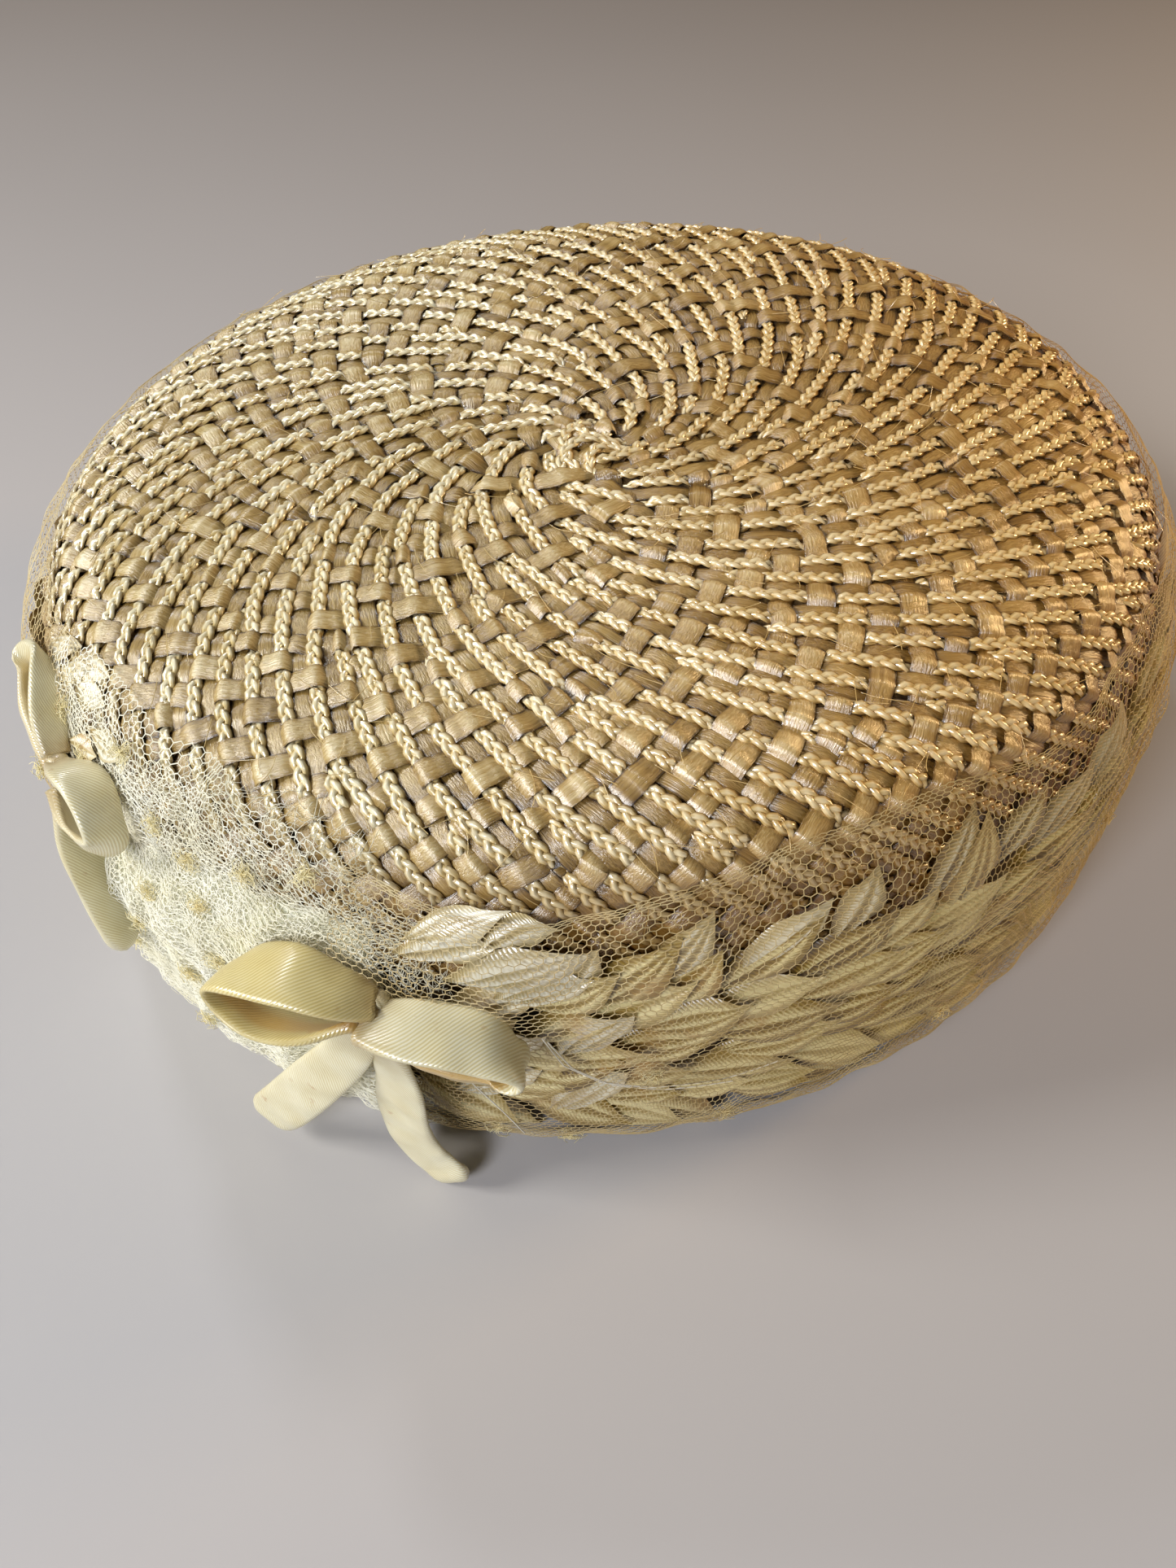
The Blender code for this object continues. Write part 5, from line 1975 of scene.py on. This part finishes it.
FRONT_BOW = SatinBow(
    "front_bow", math.radians(253.5), Knot(0.9, 45.2, 2.6, (4.6, 8.0, 3.8), -12),
    {
        "left_loop": (
            (1.2, 48.2, 3.0, 5.6, 0.1, 0.20, 1.0), (-2.6, 50.8, 4.6, 7.8, 0.1, 0.10, 1.0),
            (-8.4, 52.6, 5.4, 9.2, 0.2, 0.00, 1.0), (-14.2, 51.0, 5.4, 9.0, 0.1, 0.15, 1.0),
            (-18.2, 47.4, 5.2, 8.6, 0.1, 0.50, 1.0), (-17.0, 44.2, 5.8, 8.6, 0.1, 0.55, 1.0),
            (-11.6, 42.6, 6.4, 8.8, 0.0, 0.50, 1.0), (-5.6, 43.0, 6.0, 8.2, 0.0, 0.60, 0.8),
            (0.2, 44.6, 4.4, 5.6, 0.0, 0.90, 0.5),
        ),
        "right_loop": (
            (1.0, 47.0, 5.2, 7.0, 0.0, 0.10, 1.0), (6.0, 48.0, 5.8, 8.6, 0.0, -0.05, 1.0),
            (11.0, 47.6, 5.6, 9.0, 0.0, -0.05, 1.0), (15.8, 46.0, 5.4, 8.8, 0.0, -0.05, 1.0),
            (19.4, 42.2, 5.6, 8.2, 0.1, 0.55, 0.9), (17.6, 38.8, 5.8, 8.0, 0.1, 0.90, 0.6),
            (12.4, 38.2, 5.8, 7.8, 0.0, 0.95, 0.45), (7.2, 40.0, 5.4, 7.0, 0.0, 0.95, 0.45),
            (1.6, 43.6, 4.4, 5.0, 0.0, 0.90, 0.5),
        ),
    },
    {
        "left_tail": (
            (-0.2, 42.4, 3.2, 5.2, 1.0, -0.2, 0.1), (-4.2, 33.0, 3.6, 7.4, 0.9, -0.42, 0.1),
            (-9.6, 23.0, 5.0, 8.4, 0.9, -0.45, 0.2), (-14.6, 13.8, 6.4, 8.6, 0.9, -0.45, 0.2),
            (-18.2, 7.4, 7.4, 8.4, 0.9, -0.42, 0.2),
        ),
        "right_tail": (
            (2.2, 39.6, 3.8, 5.0, 1.0, 0.0, 0.3), (3.0, 29.5, 4.4, 7.8, 1.0, 0.0, 0.35),
            (2.4, 20.0, 4.6, 9.6, 1.0, 0.1, 0.4), (2.8, 13.0, 5.0, 9.8, 1.0, 0.15, 0.3),
            (4.4, 8.0, 6.0, 9.4, 1.0, 0.25, 0.15), (7.0, 4.4, 7.6, 8.8, 1.0, 0.45, 0.0),
        ),
    },
    yellowed=("left_loop",),
)


SIDE_BOW = SatinBow(
    "side_bow", math.radians(215.5), Knot(3.6, 55.2, 1.2, (3.2, 6.2, 3.2), -10),
    {
        "upper_loop": (
            (2.2, 57.4, 1.6, 4.0, 0.0, 0.4, 1.0), (-2.4, 60.4, 2.0, 5.0, 0.0, 0.4, 1.0),
            (-8.0, 62.6, 1.8, 5.2, 0.0, 0.5, 1.0), (-14.0, 62.6, 1.4, 5.0, 0.1, 0.7, 0.8),
            (-17.4, 59.8, 1.2, 5.0, 0.1, 0.9, 0.5), (-13.6, 56.2, 1.4, 5.2, 0.1, 0.95, 0.4),
            (-6.6, 54.2, 1.6, 5.2, 0.0, 1.0, 0.3), (2.0, 54.2, 1.4, 3.8, 0.0, 1.0, 0.4),
        ),
        "lower_loop": (
            (5.0, 57.4, 2.0, 4.6, 0.0, 0.3, 1.0), (9.0, 59.8, 3.0, 6.4, 0.0, 0.25, 1.0),
            (13.2, 60.2, 3.2, 6.8, 0.0, 0.25, 1.0), (17.2, 58.6, 3.2, 6.6, 0.0, 0.4, 1.0),
            (19.6, 55.4, 3.0, 6.2, -0.1, 0.7, 0.9), (16.4, 52.4, 3.2, 5.8, -0.1, 0.9, 0.6),
            (11.0, 51.6, 3.2, 5.6, 0.0, 0.95, 0.5), (5.0, 53.0, 2.2, 4.2, 0.0, 0.95, 0.5),
        ),
    },
    {
        "tail": (
            (3.2, 50.8, 1.2, 4.6, 0.7, 0.3, 0.5), (5.4, 44.0, 1.6, 6.4, 0.5, 0.4, 0.8),
            (9.6, 38.0, 2.2, 7.0, 0.45, 0.4, 0.8), (14.0, 31.4, 3.0, 7.0, 0.5, 0.35, 0.8),
        ),
    },
    warmth=0.3,
)


@dataclass
class LooseThreads:
    """A few long white threads that hang from the bow and the cut corner of the net."""

    runs: tuple[Rows, ...] = (
        ((255.5, 44.0, 5.5), (257.5, 36.0, 5.9), (260.0, 27.0, 6.0), (262.8, 16.0, 6.2), (264.6, 9.0, 6.6)),
        ((267.0, 42.0, 6.6), (268.5, 33.0, 6.2), (271.5, 26.5, 5.9), (276.0, 23.0, 5.8), (282.0, 22.0, 5.8),
         (287.0, 23.5, 5.7)),
        ((267.4, 41.0, 6.6), (269.2, 32.0, 6.2), (272.4, 25.4, 5.9), (276.8, 21.8, 5.8), (283.0, 20.6, 5.8)),
        ((251.5, 36.0, 5.6), (254.0, 30.0, 5.8), (255.6, 22.0, 6.0)),
    )

    def build(self, thread: Material) -> Object:
        """Builds the threads.

        Args:
            thread: their finish.

        Returns:
            The threads, as one piece.
        """
        lines = Guides()
        for run in self.runs:
            table = np.array(run)
            share = np.linspace(0, len(table) - 1, 26)
            angle, along, off = (np.interp(share, np.arange(len(table)), table[:, k]) for k in range(3))
            lines.add(FORM.place(np.radians(angle), along * MM, off * MM))
        piece = grow_threads("loose_threads", lines, 0.11, thread, 5)
        return piece


class WindowLight(NamedTuple):
    """A square light: where it hangs, its side in metres, its watts, and the height it faces."""

    name: str
    place: tuple[float, float, float]
    size: float
    power: float
    colour: str
    aim: float


@dataclass
class Studio:
    """The table, the soft daylight and the camera."""

    lights: tuple[WindowLight, ...] = (
        WindowLight("side window", (-1.05, -0.08, 0.74), 0.36, 9.6, "#FFFCF4", 0.04),
        WindowLight("front window", (-0.42, -0.70, 0.66), 0.34, 6.5, "#F4F7FF", 0.04),
        WindowLight("far window", (-0.36, 0.52, 0.62), 0.11, 1.35, "#F3F7FF", 0.04),
        WindowLight("lamp glow", (0.62, 0.22, 0.20), 0.14, 2.3, "#FFD698", 0.06))
    table_half: float = 2.5
    sky: tuple[str, float] = ("#E2DFDE", 0.07)   # colour and strength of the light from all round
    lens: float = 36.0 * 1447 / 1927
    stand: tuple[float, float, float] = (0.0, -0.1562, 0.1849)
    swing: tuple[float, float] = (-0.016, -0.046)
    roll: float = math.radians(-0.94)

    def build_table(self, paint: Material) -> None:
        """Lays the table that the cap stands on.

        Args:
            paint: its finish.
        """
        half = self.table_half
        corners = np.array([[[x, y, 0.0] for x in (-half, half)] for y in (-half, half)])
        grid_object("table", corners, False, paint)

    @staticmethod
    def add_light(plan: WindowLight) -> None:
        """Adds a soft square light that points at the cap.

        Args:
            plan: where it hangs, and its size, power, colour and aim.
        """
        light = bpy.data.lights.new(plan.name, "AREA")
        light.size = plan.size
        light.energy = plan.power
        light.color = linear(plan.colour)[:3]
        lamp = bpy.data.objects.new(plan.name, light)
        lamp.location = plan.place
        facing = Vector((0, 0, plan.aim)) - Vector(plan.place)
        lamp.rotation_euler = facing.to_track_quat("-Z", "Y").to_euler()
        bpy.context.scene.collection.objects.link(lamp)

    def build_light(self) -> None:
        """Sets the sky and the window light, cool from the left and back, warm from the right."""
        world = bpy.data.worlds.new("room light")
        world.use_nodes = True
        sky = world.node_tree.nodes["Background"]
        sky.inputs["Color"].default_value = linear(self.sky[0])
        sky.inputs["Strength"].default_value = self.sky[1]
        bpy.context.scene.world = world
        for light in self.lights:
            self.add_light(light)
        bpy.context.scene.view_settings.view_transform = "Standard"

    def build_camera(self) -> None:
        """Sets the camera where the photograph was taken from."""
        stand = Vector(self.stand)
        forward = -stand.normalized()
        right = Vector((1, 0, 0))
        up = right.cross(forward)
        forward = (forward + self.swing[0] * right + self.swing[1] * up).normalized()
        right = forward.cross(Vector((0, 0, 1))).normalized()
        up = right.cross(forward)
        tilted = math.cos(self.roll) * right + math.sin(self.roll) * up
        upright = -math.sin(self.roll) * right + math.cos(self.roll) * up
        camera = bpy.data.cameras.new("camera")
        camera.lens = self.lens
        camera.sensor_width = 36.0
        camera.clip_start = 0.01
        holder = bpy.data.objects.new("camera", camera)
        turn = Matrix((tilted, upright, -forward)).transposed().to_4x4()
        place = stand + Vector((FORM.axis[0], FORM.axis[1], 0))
        holder.matrix_world = Matrix.Translation(place) @ turn
        bpy.context.scene.collection.objects.link(holder)
        bpy.context.scene.camera = holder


def dress_cap() -> list[Object]:
    """Builds every piece of the cap.

    Returns:
        The pieces.
    """
    raffia = Raffia("raffia ribbon", roughness=0.27, specular=1.0, ior=1.85).build()
    cord = BraidedCord("braided viscose straw", roughness=0.20, specular=1.0, ior=1.85).build()
    # The wall behind the strands keeps the darker colours as painted shade between them
    wall = CrossWeave("raffia behind the strands", roughness=0.6).build()
    lining = CrossWeave("raffia inside the crown", roughness=0.5, dark="#7A5C30", light="#C3A26A").build()
    net = FineThread("cotton bobbinet", roughness=0.55, sheen=0.2).build()
    mist = FineThread("crumpled tulle thread", roughness=0.7, sheen=0.3, pale="#FDFBEC",
                      deep="#EEE9CC").build()
    chenille = FineThread("chenille", roughness=0.8, sheen=0.3, pale="#FFF7CC", deep="#F9E9B0",
                          patch=2.0).build()
    white_thread = FineThread("white sewing thread", roughness=0.4, pale="#FFFFF8", deep="#EFEBDD").build()
    # The leaves' hollow colours are painted shade and their crest colours painted highlights
    satin = PressedLeaf("pressed satin", roughness=0.27, sheen=0.1, specular=1.0, ior=1.7,
                        hollow="#75591F").build()
    organza = PressedLeaf("pressed organza", roughness=0.34, sheen=0.15, specular=1.0, ior=1.6,
                          hollow="#5E4514", body="#AC9040", crest="#FCF1BA").build()
    ribbon = BowSatin("bias satin", roughness=0.28, sheen=0.1, specular=1.0, ior=1.6).build()
    cloud = TulleCloud("massed tulle", roughness=0.9, sheen=0.4).build()

    pieces = StrawCrown().build(raffia, cord, wall, lining)
    pieces += Wreath().build(satin, organza)
    pieces += Veil().build(net)
    tulle = GatheredTulle()
    pieces += [tulle.build_pad(cloud), tulle.build_net(mist), tulle.build_fuzz(mist),
               tulle.build_dots(chenille)]
    pieces += FRONT_BOW.build(ribbon) + SIDE_BOW.build(ribbon)
    pieces.append(LooseThreads().build(white_thread))
    for piece in pieces:
        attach(piece, "root")
    return pieces


def main() -> None:
    """Dresses the cap, lights it, and logs the triangle counts."""
    logging.basicConfig(level=logging.INFO, format="%(name)s: %(message)s")
    studio = Studio()
    studio.build_camera()
    studio.build_light()
    studio.build_table(TableTop("painted board", roughness=0.6, specular=0.3).build())
    total = 0
    for piece in dress_cap():
        piece.data.calc_loop_triangles()
        count = len(piece.data.loop_triangles)
        total += count
        LOG.info("%s: %d triangles", piece.name, count)
    LOG.info("all pieces: %d triangles", total)


if __name__ == "__main__":
    main()
